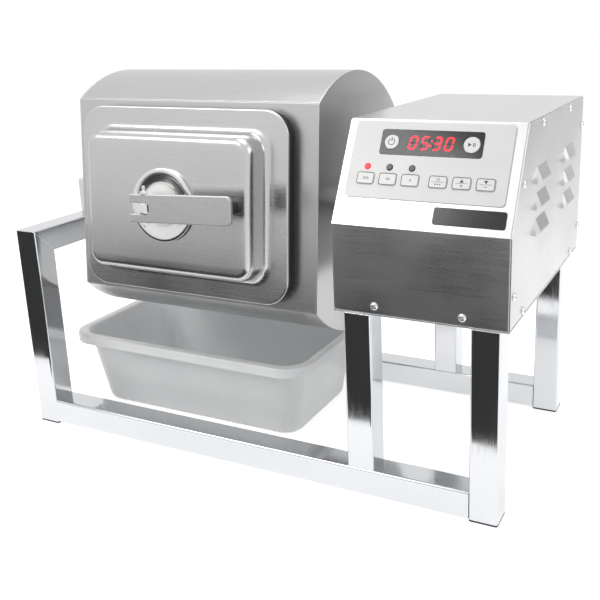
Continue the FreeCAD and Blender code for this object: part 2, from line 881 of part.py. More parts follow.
def make_cable_gland():
    """A round gland with a hexagon nut inside the rear panel, bored for the supply cable."""
    body = new_body("cable_gland")
    flange = sketch_on(body)
    draw_circle(flange, "0", "0", "gland_flange")
    pad(body, flange, "3 * sheet")
    bevel_edges(body, edges_at_height("3 * sheet"), "sheet")
    barrel = sketch_on(body)
    draw_circle(barrel, "0", "0", "gland_radius")
    pad(body, barrel, "gland_length")
    bevel_edges(body, edges_at_height("gland_length"), "sheet")
    thread = sketch_on(body)
    draw_circle(thread, "0", "0", "gland_radius")
    pad(body, thread, "gland_length / 2", backward=True)
    nut = sketch_on(body, lift="0 - sheet")
    draw_hexagon(nut, "gland_flange")
    pad(body, nut, "3 * sheet", backward=True)
    bore = sketch_on(body)
    draw_circle(bore, "0", "0", "gland_bore")
    pocket(body, bore, "3 * gland_length", symmetric=True)
    subpart(body, "cable_gland", at("gland_centre", "box_rear", "gland_rise", ALONG_Y))


# ---------------------------------------------------------------- drive


def gearbox_bolts():
    """Places of the gearbox's bolts about the drum axis, as depth and height."""
    reach = "(gearbox_side / 2 - gearbox_corner)"
    return [(f"{y} * {reach}", f"{z} * {reach}") for y in (-1, 1) for z in (-1, 1)]


def make_motor_bracket():
    """An angle of thick sheet: its foot stands on the box floor, its face carries the gearbox."""
    floor = "box_bottom - axis_height"
    body = new_body("motor_bracket")
    angle = sketch_on(body, "XZ_Plane")
    high = "bracket_width / 2"
    reach = "gearbox_depth"
    draw_polygon(angle, [
        ("0", floor), (reach, floor), (reach, f"{floor} + bracket_sheet"),
        ("bracket_sheet", f"{floor} + bracket_sheet"), ("bracket_sheet", high), ("0", high),
    ])
    pad(body, angle, "bracket_width", symmetric=True)
    holes = sketch_on(body, "YZ_Plane")
    draw_circle(holes, "0", "0", "boss_radius + slip")
    for depth, height in gearbox_bolts():
        draw_circle(holes, depth, height, "bolt_radius + slip")
    pocket(body, holes, "3 * bracket_sheet", symmetric=True)
    subpart(body, "motor_bracket", at("bracket_left", "axis_back", "axis_height"))


def make_gearbox():
    """A worm gearbox: rounded housing, output boss, and the bore that the drum's shaft turns in."""
    half = "gearbox_side / 2"
    body = plate("gearbox", f"0 - {half}", f"0 - {half}", "gearbox_side", "gearbox_side",
                 "gearbox_depth", "gearbox_corner")
    bevel_edges(body, edges_at_height("gearbox_depth"), "bracket_sheet")
    boss = sketch_on(body)
    draw_circle(boss, "0", "0", "boss_radius")
    pad(body, boss, "boss_length", backward=True)
    bore = sketch_on(body, lift="0 - boss_length - cut_past")
    draw_circle(bore, "0", "0", "shaft_radius + running_fit")
    pocket(body, bore, "shaft_length", backward=True)
    bolts = sketch_on(body)
    for depth, height in gearbox_bolts():
        draw_circle(bolts, depth, height, "bolt_radius + slip / 2")
    pocket(body, bolts, "gearbox_corner + slip", backward=True)
    subpart(body, "gearbox", at("gearbox_left", "axis_back", "axis_height", TO_RIGHT))


def make_gearbox_bolts():
    body = new_body("gearbox_bolt")
    head = sketch_on(body)
    draw_circle(head, "0", "0", "bolt_head")
    pad(body, head, "bolt_head_thick")
    shank = sketch_on(body)
    draw_circle(shank, "0", "0", "bolt_radius")
    pad(body, shank, "gearbox_corner + bracket_sheet", backward=True)
    bolts = []
    for depth, height in gearbox_bolts():
        place = at("bracket_left", f"axis_back + {depth}", f"axis_height + {height}", TO_LEFT)
        bolts.append(body.Shape.transformed(place.toMatrix()))
    subpart(union_of("gearbox_bolts", bolts), "gearbox_bolts")


def make_motor():
    """The drive motor behind the gearbox, with its square flange and rounded end cap."""
    side = "2 * motor_radius"
    body = plate("motor", "0 - motor_radius", "0 - motor_radius", side, side, "2 * bracket_sheet",
                 "gearbox_corner")
    can = sketch_on(body)
    draw_circle(can, "0", "0", "motor_radius")
    pad(body, can, "motor_length")
    bevel_edges(body, edges_at_height("motor_length"), "2 * bracket_sheet")
    across = "gearbox_left + motor_radius + bracket_sheet"
    back = "axis_back + gearbox_side / 2"
    subpart(body, "motor", at(across, back, "axis_height + motor_rise", ALONG_Y))


def make_power_supply():
    """A caged supply on the box floor beside the gearbox, with its terminal step."""
    body = plate("power_supply", "0", "0", "supply_length", "supply_width", "supply_height",
                 "supply_corner")
    step = sketch_on(body, lift="supply_height")
    draw_rectangle(step, "0 - cut_past", "supply_width - supply_step",
                   "supply_length + 2 * cut_past", "supply_step + cut_past")
    pocket(body, step, "supply_step_depth")
    left = "box_right - supply_right_gap - supply_length"
    back = "box_rear - supply_rear_gap - supply_width"
    subpart(body, "power_supply", at(left, back, "box_bottom"))


def make_control_board():
    """The board behind the slanted panel, with its four standoffs and the digit module."""
    body = new_body("control_board")
    low = "window_row + display_height / 2 + board_edge - board_height"
    left = "overlay_left + (overlay_length - board_length) / 2"
    sketch = sketch_on(body, lift="0 - sheet - board_standoff - board_thick")
    draw_rectangle(sketch, left, low, "board_length", "board_height")
    pad(body, sketch, "board_thick")
    module = sketch_on(body, lift="0 - sheet - board_standoff - board_thick / 2")
    draw_rectangle(module, "window_centre - display_length / 2", "window_row - display_height / 2",
                   "display_length", "display_height")
    pad(body, module, "sheet + board_standoff + board_thick / 2")
    posts = sketch_on(body, lift="0 - sheet - board_standoff - board_thick / 2")
    for across in (f"{left} + board_edge", f"{left} + board_length - board_edge"):
        for up in (f"{low} + board_edge", f"{low} + board_height - board_edge"):
            draw_circle(posts, across, up, "standoff_radius")
    pad(body, posts, "board_standoff + board_thick / 2")
    subpart(body, "control_board", panel_frame())


# ---------------------------------------------------------------- control panel

SPEED_KEYS = ("fast_key", "medium_key", "slow_key")
TIME_KEYS = ("time_key", "time_up_key", "time_down_key")


def key_centres():
    """The six square keys by name, each with the place of its centre along the panel."""
    centres = {name: f"speed_keys + {n} * key_pitch" for n, name in enumerate(SPEED_KEYS)}
    centres.update({name: f"time_keys + {n} * key_pitch" for n, name in enumerate(TIME_KEYS)})
    return centres


def round_keys():
    """The two round keys by name, each with the place of its centre and its radius."""
    return {
        "power_key": ("window_centre - round_key_offset", "power_key_radius"),
        "start_stop_key": ("window_centre + round_key_offset", "start_key_radius"),
    }


def led_places():
    return [f"speed_keys + {n} * key_pitch" for n in range(3)]


def make_overlay():
    """The light key panel, cut out for the window, the keys and the speed lights."""
    body = plate("keypad_overlay", "overlay_left", "overlay_low", "overlay_length", "overlay_height",
                 "overlay_thick", "overlay_corner")
    cuts = sketch_on(body)
    draw_rounded(cuts, "window_centre - window_length / 2", "window_row - window_height / 2",
                 "window_length", "window_height", "window_corner")
    for centre in key_centres().values():
        draw_rounded(cuts, f"{centre} - key_length / 2 - key_gap",
                     "key_row - key_height / 2 - key_gap", "key_length + 2 * key_gap",
                     "key_height + 2 * key_gap", "key_corner + key_gap")
    for centre in led_places():
        draw_circle(cuts, centre, "led_row", "led_radius + weld_gap")
    pocket(body, cuts, backward=True)
    subpart(body, "keypad_overlay", panel_frame())


def make_window():
    """The dark display window, bored for the two round keys."""
    inset = "weld_gap"
    body = plate("display_window", f"window_centre - window_length / 2 + {inset}",
                 f"window_row - window_height / 2 + {inset}", f"window_length - 2 * {inset}",
                 f"window_height - 2 * {inset}", "overlay_thick", "window_corner")
    cuts = sketch_on(body)
    for centre, radius in round_keys().values():
        draw_circle(cuts, centre, "window_row", f"{radius} + key_gap")
    pocket(body, cuts, backward=True)
    subpart(body, "display_window", panel_frame())


def make_keys():
    """Eight push keys. Each stands a little proud and has room below it for its travel."""
    for name, centre in key_centres().items():
        body = plate(name, "0 - key_length / 2", "0 - key_height / 2", "key_length", "key_height",
                     "key_thick", "key_corner")
        bevel_edges(body, edges_at_height("key_thick"), "key_gap")
        subpart(body, name, panel_frame() * at(centre, "key_row", "key_bottom"))
    for name, (centre, radius) in round_keys().items():
        body = new_body(name)
        face = sketch_on(body)
        draw_circle(face, "0", "0", radius)
        pad(body, face, "key_thick")
        bevel_edges(body, edges_at_height("key_thick"), "key_gap")
        subpart(body, name, panel_frame() * at(centre, "window_row", "key_bottom"))


def make_leds():
    """Speed lights: domed lenses in the overlay, the first lit and the others dark."""
    lights = []
    for place in led_places():
        body = new_body("speed_light")
        lens = sketch_on(body)
        draw_circle(lens, place, "led_row", "led_radius")
        pad(body, lens, "overlay_thick + key_proud")
        bevel_edges(body, edges_at_height("overlay_thick + key_proud"), "key_proud")
        lights.append(body)
    subpart(lights[0], "fast_light", panel_frame())
    idle = [body.Shape.transformed(panel_frame().toMatrix()) for body in lights[1:]]
    subpart(union_of("idle_lights", idle), "idle_lights")


def make_name_plate():
    """A bare dark plate at the foot of the slanted panel."""
    body = plate("name_plate", "plate_left", "plate_low", "plate_length", "plate_height",
                 "plate_thick", "plate_corner")
    subpart(body, "name_plate", panel_frame())


# ---------------------------------------------------------------- drum


def make_drum_shell():
    """The round wall of the drum, cut away where the flat front closes it."""
    outside = doc.addObject("Part::Cylinder", "shell_outside")
    bind(outside, "Radius", "drum_radius")
    bind(outside, "Height", "drum_length - 2 * drum_wall")
    bore = doc.addObject("Part::Cylinder", "shell_bore")
    bind(bore, "Radius", "shell_bore")
    bind(bore, "Height", "drum_length")
    ring = doc.addObject("Part::Cut", "shell_ring")
    ring.Base = outside
    ring.Tool = bore
    front = doc.addObject("Part::Box", "shell_front")
    bind(front, "Length", "3 * drum_radius")
    bind(front, "Width", "drum_radius")
    bind(front, "Height", "2 * drum_length")
    front.Placement = at("0 - 1.5 * drum_radius", "0 - drum_flat + drum_wall - drum_radius",
                         "0 - drum_length / 2")
    body = doc.addObject("Part::Cut", "shell_form")
    body.Base = ring
    body.Tool = front
    doc.recompute()
    subpart(body, "drum_shell", drum_frame() * at("drum_left + drum_wall", "0", "0", ALONG_X))


def make_end_plates():
    """Two flat ends: discs that are cut straight along the flat front."""
    for label, left in (("left_end_plate", "drum_left"), ("right_end_plate", "drum_right - drum_wall")):
        body = new_body(label)
        disc = sketch_on(body, "YZ_Plane")
        draw_circle(disc, "0", "0", "drum_radius")
        pad(body, disc, "drum_wall")
        cut = sketch_on(body, "YZ_Plane")
        draw_rectangle(cut, "0 - 2 * drum_radius", "0 - drum_radius",
                       "2 * drum_radius - drum_flat", "2 * drum_radius")
        pocket(body, cut, "3 * drum_wall", symmetric=True)
        subpart(body, label, drum_frame() * at(left))


def make_front_plate():
    """The flat front with its round-cornered mouth; the lid's frame of reference is its own."""
    inside = "drum_length - 2 * drum_wall"
    left = "drum_left + drum_wall - lid_centre"
    body = plate("drum_front_plate", left, "0 - flat_half", inside, "2 * flat_half", "drum_wall")
    mouth = sketch_on(body)
    draw_rounded(mouth, "0 - mouth_length / 2", "0 - mouth_height / 2", "mouth_length",
                 "mouth_height", "mouth_corner")
    pocket(body, mouth, backward=True)
    subpart(body, "drum_front_plate", lid_frame("drum_flat - drum_wall"))


def make_mouth_collar():
    """The stiffening rim welded into the mouth."""
    body = new_body("mouth_collar")
    ring = sketch_on(body)
    for inset in ("weld_gap", "drum_wall"):
        draw_rounded(ring, f"{inset} - mouth_length / 2", f"{inset} - mouth_height / 2",
                     f"mouth_length - 2 * {inset}", f"mouth_height - 2 * {inset}",
                     f"mouth_corner - {inset}")
    pad(body, ring, "collar_depth", backward=True)
    subpart(body, "mouth_collar", lid_frame("drum_flat"))


def make_baffles():
    """Three ridges welded along the drum's wall, which lift the load as it turns."""
    body = new_body("drum_baffles")
    ridge = sketch_on(body, "YZ_Plane")
    foot = "(shell_bore - weld_gap)"
    draw_polygon(ridge, [
        (f"{foot} * cos(baffle_half_angle)", f"0 - {foot} * sin(baffle_half_angle)"),
        (f"{foot} * cos(baffle_half_angle)", f"{foot} * sin(baffle_half_angle)"),
        (f"{foot} - baffle_height", "0"),
    ])
    pad(body, ridge, "baffle_length", symmetric=True)
    shapes = []
    for turn in (-90, 0, 90):
        spin = Placement(Vector(), Rotation(Vector(1, 0, 0), turn))
        place = drum_frame() * at("drum_left + drum_length / 2") * spin
        shapes.append(body.Shape.transformed(place.toMatrix()))
    subpart(union_of("drum_baffles", shapes), "drum_baffles")


def make_journal():
    """The left journal: a flange on the drum's end and the pin that lies in the cradle."""
    body = new_body("drum_journal")
    flange = sketch_on(body)
    draw_circle(flange, "0", "0", "hub_flange")
    pad(body, flange, "hub_flange_thick")
    bevel_edges(body, edges_at_height("hub_flange_thick"), "sheet")
    root = sketch_on(body)
    draw_circle(root, "0", "0", "hub_radius")
    pad(body, root, "drum_left - tube - dog_gap")
    pin_sketch = sketch_on(body)
    draw_circle(pin_sketch, "0", "0", "journal_radius")
    pad(body, pin_sketch, "drum_left - dog_gap")
    bevel_edges(body, edges_at_height("drum_left - dog_gap"), "sheet")
    subpart(body, "drum_journal", drum_frame() * at("drum_left", turn=TO_LEFT))


def make_hub():
    """The right hub: a flange, a boss and the flat tongue that drives the drum."""
    body = new_body("drum_hub")
    flange = sketch_on(body)
    draw_circle(flange, "0", "0", "hub_flange")
    pad(body, flange, "hub_flange_thick")
    bevel_edges(body, edges_at_height("hub_flange_thick"), "sheet")
    boss = sketch_on(body)
    draw_circle(boss, "0", "0", "hub_radius")
    pad(body, boss, "hub_flange_thick + hub_length")
    tongue = sketch_on(body)
    draw_rectangle(tongue, "0 - tongue_width / 2", "0 - tongue_thick / 2", "tongue_width",
                   "tongue_thick")
    pad(body, tongue, "hub_flange_thick + hub_length + tongue_length")
    subpart(body, "drum_hub", drum_frame() * at("drum_right", turn=TO_RIGHT))


def make_drive_shaft():
    """The gearbox's output shaft with the slotted dog that takes the drum's tongue."""
    body = new_body("drive_shaft")
    dog = sketch_on(body)
    draw_circle(dog, "0", "0", "hub_radius")
    pad(body, dog, "dog_length")
    slot = sketch_on(body)
    side = "tongue_thick / 2 + dog_clearance"
    draw_rectangle(slot, "0 - 2 * hub_radius", f"0 - ({side})", "4 * hub_radius", f"2 * ({side})")
    pocket(body, slot, "tongue_length - dog_gap + 2 * dog_clearance", backward=True)
    shaft = sketch_on(body, lift="dog_length")
    draw_circle(shaft, "0", "0", "shaft_radius")
    pad(body, shaft, "shaft_length")
    subpart(body, "drive_shaft", drum_frame() * at("dog_left", turn=TO_RIGHT))


# ---------------------------------------------------------------- lid


def make_lid_pan():
    """The pressed lid: a flange whose edge is folded back as a hem, and a deep round-edged dome."""
    body = plate("lid_pan", "0 - lid_length / 2", "0 - lid_height / 2", "lid_length", "lid_height",
                 "lid_hem", "lid_corner")
    round_edges(body, edges_at_height("lid_hem"), "lid_edge")
    under = sketch_on(body)
    inset = "hem_width"
    draw_rounded(under, f"{inset} - lid_length / 2", f"{inset} - lid_height / 2",
                 f"lid_length - 2 * {inset}", f"lid_height - 2 * {inset}", f"lid_corner - {inset}")
    pocket(body, under, "lid_hem - lid_sheet", backward=True)
    dome = sketch_on(body, lift="lid_hem")
    draw_rounded(dome, "0 - dome_length / 2", "0 - dome_height / 2", "dome_length", "dome_height",
                 "dome_corner")
    pad(body, dome, "dome_rise", draft="0 - dome_draft")
    hollow_floor = "lid_hem - lid_sheet"
    hollow = sketch_on(body, lift=hollow_floor)
    wall = "lid_sheet / cos(dome_draft)"
    draw_rounded(hollow, f"{wall} - dome_length / 2", f"{wall} - dome_height / 2",
                 f"dome_length - 2 * {wall}", f"dome_height - 2 * {wall}", f"dome_corner - {wall}")
    pocket(body, hollow, "dome_rise", backward=True, draft="0 - dome_draft")
    # the inner round comes first, so that the outer one never breaks through the wall
    round_edges(body, edges_at_height(f"{hollow_floor} + dome_rise"), "dome_edge - lid_sheet")
    round_edges(body, edges_at_height("lid_hem + dome_rise"), "dome_edge")
    half_length = value("dome_length / 2 + cut_past")
    half_height = value("dome_height / 2 + cut_past")

    def root_edges(edge):
        box = edge.BoundBox
        within = max(abs(box.XMin), abs(box.XMax)) < half_length
        within = within and max(abs(box.YMin), abs(box.YMax)) < half_height
        return within and edges_at_height("lid_hem")(edge)

    round_edges(body, root_edges, "dome_root")
    bore = sketch_on(body)
    draw_circle(bore, "0", "0", "stem_radius + stem_fit")
    pocket(body, bore, "2 * dome_rise", backward=True)
    subpart(body, "lid_pan", lid_frame("lid_back"))


def make_gasket():
    """The rubber frame under the lid's flange, which seals on the flat front."""
    body = new_body("lid_gasket")
    ring = sketch_on(body)
    for inset in ("gasket_inset", "(gasket_inset + gasket_width)"):
        draw_rounded(ring, f"{inset} - lid_length / 2", f"{inset} - lid_height / 2",
                     f"lid_length - 2 * {inset}", f"lid_height - 2 * {inset}",
                     f"lid_corner - {inset}")
    pad(body, ring, "gasket_thick")
    subpart(body, "lid_gasket", lid_frame("drum_flat"))


def make_dish():
    """The valve's round seat: a raised rim that slopes down to a flat floor."""
    body = new_body("valve_dish")
    half = sketch_on(body, "XZ_Plane")
    rim = "dish_radius - dish_rim"
    draw_polygon(half, [
        ("stem_radius + stem_fit", "0"), ("dish_radius", "0"), ("dish_radius", "dish_rise"),
        (rim, "dish_rise"), (f"{rim} - dish_slope", "dish_sheet"),
        ("stem_radius + stem_fit", "dish_sheet"),
    ])
    revolve(body, half)
    bevel_edges(body, edges_at_height("dish_rise"), "dish_rim * 0.3")
    subpart(body, "valve_dish", lid_frame("lid_face"))


def make_plug():
    """The soft valve plug: a low dome that closes the seat."""
    body = new_body("valve_plug")
    disc = sketch_on(body)
    draw_circle(disc, "0", "0", "plug_radius")
    pad(body, disc, "plug_rise")
    round_edges(body, edges_at_height("plug_rise"), "plug_rise - plug_edge")
    bore = sketch_on(body)
    draw_circle(bore, "0", "0", "stem_radius + weld_gap")
    pocket(body, bore, backward=True)
    subpart(body, "valve_plug", lid_frame("lid_face + plug_base"))


def make_stem():
    """The stem: a stop nut inside the lid, the rod, and the eye that the lever is pinned to."""
    body = new_body("valve_stem")
    nut_low = "0 - lid_sheet - valve_travel - rest_gap"
    nut = sketch_on(body, lift=nut_low)
    draw_circle(nut, "0", "0", "stem_nut")
    pad(body, nut, "stem_nut_thick", backward=True)
    rod = sketch_on(body, lift=nut_low)
    draw_circle(rod, "0", "0", "stem_radius")
    pad(body, rod, "lid_sheet + valve_travel + rest_gap + pivot_rise - eye_radius / 2")
    eye = sketch_on(body, "XZ_Plane")
    draw_circle(eye, "0", "pivot_rise", "eye_radius")
    pad(body, eye, "eye_width", symmetric=True)
    hole = sketch_on(body, "XZ_Plane")
    draw_circle(hole, "0", "pivot_rise", "pin_radius + pin_fit")
    pocket(body, hole, "2 * eye_width", symmetric=True)
    subpart(body, "valve_stem", lever_frame("lid_face"))


def make_lever():
    """The forked lever: a thick bar whose two tails turn down beside the stem's eye."""
    body = new_body("lever")
    side = sketch_on(body, "XZ_Plane")
    low = "0 - lever_thick / 2"
    high = "lever_thick / 2"
    draw_polygon(side, [
        ("0 - lever_tail", f"{low} - nose_drop"),
        ("nose_length - lever_tail", f"{low} - nose_drop"),
        ("nose_length + nose_drop - lever_tail", low),
        ("lever_length - lever_tail", low),
        ("lever_length - lever_tail", high),
        ("0 - lever_tail", high),
    ])
    pad(body, side, "lever_width", symmetric=True)
    tail = value("0 - lever_tail")
    tip_x = value("lever_length - lever_tail")
    top = value(high)

    def tail_edge(edge):
        box = edge.BoundBox
        return box.XMax < tail + 0.01 and box.ZMin > top - 0.01

    def tip_corners(edge):
        return edge.BoundBox.XMin > tip_x - 0.01 and edge.BoundBox.ZLength > 1

    round_edges(body, tip_corners, "lever_corner")
    round_edges(body, tail_edge, "lever_thick * 0.7")
    slot = sketch_on(body)
    draw_rectangle(slot, "0 - lever_tail - cut_past", "0 - fork_slot / 2",
                   "fork_depth + cut_past", "fork_slot")
    pocket(body, slot, "6 * lever_thick", symmetric=True)
    bore = sketch_on(body, "XZ_Plane")
    draw_circle(bore, "0", "0", "pin_radius + pin_fit")
    pocket(body, bore, "2 * lever_width", symmetric=True)
    subpart(body, "lever", lever_frame("lid_face + pivot_rise"))


def make_lever_pin():
    """The hinge pin with a nut at each end, outside the fork."""
    body = new_body("lever_pin")
    rod = sketch_on(body, "XZ_Plane", "0 - lever_width / 2 - pin_above")
    draw_circle(rod, "0", "0", "pin_radius")
    pad(body, rod, "lever_width + pin_above + pin_below")
    outside = "lever_width / 2 + weld_gap"
    for lift, backward in ((outside, False), (f"0 - ({outside})", True)):
        nut = sketch_on(body, "XZ_Plane", lift)
        draw_hexagon(nut, "pin_nut")
        pad(body, nut, "pin_nut_thick", backward=backward)
    subpart(body, "lever_pin", lever_frame("lid_face + pivot_rise"))


def make_bumper():
    """The rubber foot under the lever's free end, which rests on the lid."""
    cone = doc.addObject("Part::Cone", "bumper_form")
    bind(cone, "Radius1", "bumper_tip")
    bind(cone, "Radius2", "bumper_radius")
    bind(cone, "Height", "lever_under - rest_gap")
    doc.recompute()
    subpart(cone, "lever_bumper", lever_frame("lid_face") * at("bumper_place", "0", "rest_gap"))


# ---------------------------------------------------------------- tray


def make_tray():
    """The drip tray: drafted walls, a flat rim that folds down, round corners and a soft foot."""
    body = plate("tray", "0", "0", "tray_length", "tray_width", "tray_lip_drop", "tray_corner")
    bevel_edges(body, edges_at_height("tray_lip_drop"), "tray_wall * 0.6")
    under = sketch_on(body)
    inset = "tray_wall"
    draw_rounded(under, inset, inset, f"tray_length - 2 * {inset}", f"tray_width - 2 * {inset}",
                 f"tray_corner - {inset}")
    pocket(body, under, "tray_lip_drop - tray_wall", backward=True)
    bowl = sketch_on(body, lift="tray_lip_drop - tray_wall / 2")
    lip = "tray_lip"
    draw_rounded(bowl, lip, lip, f"tray_length - 2 * {lip}", f"tray_width - 2 * {lip}",
                 f"tray_corner - {lip} / 2")
    pad(body, bowl, "tray_height - tray_wall / 2", backward=True, draft="0 - tray_draft")
    foot = "tray_lip_drop - tray_height"
    round_edges(body, edges_at_height(foot), "tray_foot_radius")
    hollow = sketch_on(body, lift="tray_lip_drop")
    inner = "(tray_lip + tray_wall)"
    draw_rounded(hollow, inner, inner, f"tray_length - 2 * {inner}", f"tray_width - 2 * {inner}",
                 f"tray_corner - {lip} / 2 - tray_wall")
    pocket(body, hollow, "tray_height - tray_wall", draft="0 - tray_draft")
    bevel_edges(body, edges_at_height("tray_lip_drop - tray_height + tray_wall"),
                "(tray_foot_radius - tray_wall) / 2")
    subpart(body, "tray", at("tray_left", "tray_front", "tray_height - tray_lip_drop"))


# ---------------------------------------------------------------- whole part


def check_pieces():
    """Stop if any object failed, or any sub-part has no sound shape."""
    doc.recompute()
    for item in doc.Objects:
        if "Invalid" in item.State or "Error" in item.State:
            raise ValueError(f"{item.Name} did not compute: {item.State}")
    for item in subparts:
        if item.Shape.isNull() or not item.Shape.isValid() or not item.Shape.Solids:
            raise ValueError(f"{item.Label} has no sound shape")


def stand_on_origin():
    """Move every sub-part so that the origin is under the middle of the whole, on the floor."""
    box = FreeCAD.BoundBox()
    for item in subparts:
        box.add(item.Shape.optimalBoundingBox(False, False))
    shift = Placement(Vector(-box.Center.x, -box.Center.y, -box.ZMin), Rotation())
    for item in subparts:
        item.Placement = shift * item.Placement
    return shift.Base


def write_parts():
    os.makedirs("parts", exist_ok=True)
    for item in subparts:
        item.Shape.exportStep(f"parts/{item.Label}.step")


STEPS = (
    make_frame, make_foot_plugs, make_bearing_block, make_block_bolts,
    make_hood, make_base_plate, make_rear_panel, make_left_side_panel, make_right_side_panel,
    make_panel_screws, make_cable_gland,
    make_motor_bracket, make_gearbox, make_gearbox_bolts, make_motor, make_power_supply,
    make_control_board, make_overlay, make_window, make_keys, make_leds, make_name_plate,
    make_drum_shell, make_end_plates, make_front_plate, make_mouth_collar, make_baffles,
    make_journal, make_hub, make_drive_shaft,
    make_lid_pan, make_gasket, make_dish, make_plug, make_stem,
    make_lever, make_lever_pin, make_bumper, make_tray,
)

fill_sheet()
for step in STEPS:
    step()
check_pieces()
origin_shift = stand_on_origin()
check_pieces()
write_parts()
print("sub-parts:", len(subparts), "origin moved by", origin_shift)
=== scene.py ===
import json
import math

import bmesh
import bpy
from mathutils import Matrix, Vector


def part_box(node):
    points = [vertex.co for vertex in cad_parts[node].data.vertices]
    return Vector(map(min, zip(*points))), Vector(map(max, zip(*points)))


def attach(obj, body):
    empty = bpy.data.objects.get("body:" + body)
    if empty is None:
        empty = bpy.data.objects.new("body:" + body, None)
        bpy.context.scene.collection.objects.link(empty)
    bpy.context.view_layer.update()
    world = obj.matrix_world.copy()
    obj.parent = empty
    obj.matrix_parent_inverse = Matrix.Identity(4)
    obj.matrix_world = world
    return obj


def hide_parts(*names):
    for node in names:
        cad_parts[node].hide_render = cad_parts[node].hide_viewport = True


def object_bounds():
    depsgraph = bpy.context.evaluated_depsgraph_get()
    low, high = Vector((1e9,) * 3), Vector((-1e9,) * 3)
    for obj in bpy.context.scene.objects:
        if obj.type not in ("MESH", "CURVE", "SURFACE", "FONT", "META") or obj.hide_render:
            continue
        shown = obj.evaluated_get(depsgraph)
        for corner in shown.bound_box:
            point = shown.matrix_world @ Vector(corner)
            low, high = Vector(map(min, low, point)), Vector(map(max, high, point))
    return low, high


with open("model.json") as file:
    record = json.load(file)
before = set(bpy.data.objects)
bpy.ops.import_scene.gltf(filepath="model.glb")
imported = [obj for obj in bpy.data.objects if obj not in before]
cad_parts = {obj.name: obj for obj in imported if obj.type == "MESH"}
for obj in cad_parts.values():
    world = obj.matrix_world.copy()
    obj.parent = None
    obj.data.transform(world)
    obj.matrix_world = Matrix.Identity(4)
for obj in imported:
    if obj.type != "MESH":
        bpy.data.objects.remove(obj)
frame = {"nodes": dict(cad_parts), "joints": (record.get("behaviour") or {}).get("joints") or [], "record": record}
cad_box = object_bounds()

# Looks of the vacuum tumbler. Sizes are in metres. Places are read from the CAD nodes and joints.

MM = 0.001
WELD = 0.001 * MM
NODES = frame["nodes"]
JOINTS = {joint["name"]: joint for joint in frame["joints"]}
RIGHT = Vector((1, 0, 0))


# ---------------------------------------------------------------- places


def facing(out, place, right=RIGHT):
    """A local frame: X to the right, Y up the face, Z out of it."""
    up = out.cross(right)
    return Matrix.Translation(place) @ Matrix((right, up, out)).transposed().to_4x4()


def corners_of(points):
    points = list(points)
    low = Vector(min(point[axis] for point in points) for axis in range(3))
    high = Vector(max(point[axis] for point in points) for axis in range(3))
    return low, high


def extent(node, place):
    """Lowest and highest corner of a CAD node in a local frame."""
    inverse = place.inverted()
    return corners_of(inverse @ vertex.co for vertex in NODES[node].data.vertices)


def middle(node):
    low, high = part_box(node)
    return (low + high) / 2


DRUM_AXIS = Vector(JOINTS["drum_spin"]["pos_m"])
LID_OUT = Vector(JOINTS["lid_off"]["axis"])
LID = facing(LID_OUT, Vector((middle("lid_pan").x, DRUM_AXIS.y, DRUM_AXIS.z)))
PANEL = facing(-Vector(JOINTS["power_key_press"]["axis"]), Vector())
# the lever's own frame: its origin on the hinge, X along the bar
LEVER = facing(LID_OUT, Vector(JOINTS["lever_swing"]["pos_m"]),
               LID_OUT.cross(Vector(JOINTS["lever_swing"]["axis"])).normalized())


# ---------------------------------------------------------------- shader nodes


class Surface:
    """A node material that is built up step by step."""

    def __init__(self, name, **inputs):
        self.material = bpy.data.materials.new(name)
        self.material.use_nodes = True
        self.tree = self.material.node_tree
        self.shader = self.tree.nodes["Principled BSDF"]
        for key, value in inputs.items():
            self.shader.inputs[key.replace("_", " ")].default_value = value

    def add(self, kind, inputs=None, **settings):
        node = self.tree.nodes.new("ShaderNode" + kind)
        for key, value in settings.items():
            setattr(node, key, value)
        for key, value in (inputs or {}).items():
            node.inputs[key].default_value = value
        return node

    def link(self, output, target):
        self.tree.links.new(output, target)

    def noise(self, scale, detail=2.0, stretch=(1, 1, 1)):
        """Noise in the piece's own metres. A stretch above 1 makes it finer along that axis."""
        coordinates = self.add("TexCoord")
        mapping = self.add("Mapping", {"Scale": [scale * factor for factor in stretch]})
        self.link(coordinates.outputs["Object"], mapping.inputs["Vector"])
        noise = self.add("TexNoise", {"Scale": 1.0, "Detail": detail})
        self.link(mapping.outputs["Vector"], noise.inputs["Vector"])
        return noise.outputs["Fac"]

    def spread(self, value, low, high, start=0.3, stop=0.7):
        """Map a value from start to stop onto low to high."""
        node = self.add("MapRange", {"From Min": start, "From Max": stop, "To Min": low, "To Max": high})
        self.link(value, node.inputs["Value"])
        return node.outputs["Result"]

    def tint(self, value, low, high):
        """A colour between two colours."""
        node = self.add("Mix", data_type="RGBA")
        self.link(value, node.inputs["Factor"])
        node.inputs["A"].default_value = (*low, 1)
        node.inputs["B"].default_value = (*high, 1)
        return node.outputs["Result"]

    def multiply(self, first, second):
        node = self.add("Math", operation="MULTIPLY")
        self.link(first, node.inputs[0])
        self.link(second, node.inputs[1])
        return node.outputs[0]

    def rounded_normal(self, radius):
        bevel = self.add("Bevel", {"Radius": radius}, samples=6)
        return bevel.outputs["Normal"]

    def bump(self, height, depth, strength=1.0, normal=None):
        node = self.add("Bump", {"Distance": depth, "Strength": strength})
        self.link(height, node.inputs["Height"])
        if normal is not None:
            self.link(normal, node.inputs["Normal"])
        self.link(node.outputs["Normal"], self.shader.inputs["Normal"])

    def edge_wear_and_highlight(self, radius):
        """1 on the edges and 0 on the faces, from how far the rounded normal turns. It marks rubbed edges and
        where a highlight is painted.
        """
        bevel = self.rounded_normal(radius)
        flat = self.add("NewGeometry")
        dot = self.add("VectorMath", operation="DOT_PRODUCT")
        self.link(bevel, dot.inputs[0])
        self.link(flat.outputs["Normal"], dot.inputs[1])
        return self.spread(dot.outputs["Value"], 1.0, 0.0, 0.80, 0.995)


ALONG = {"x": (0.006, 1, 1), "y": (1, 0.006, 1), "z": (1, 1, 0.006)}


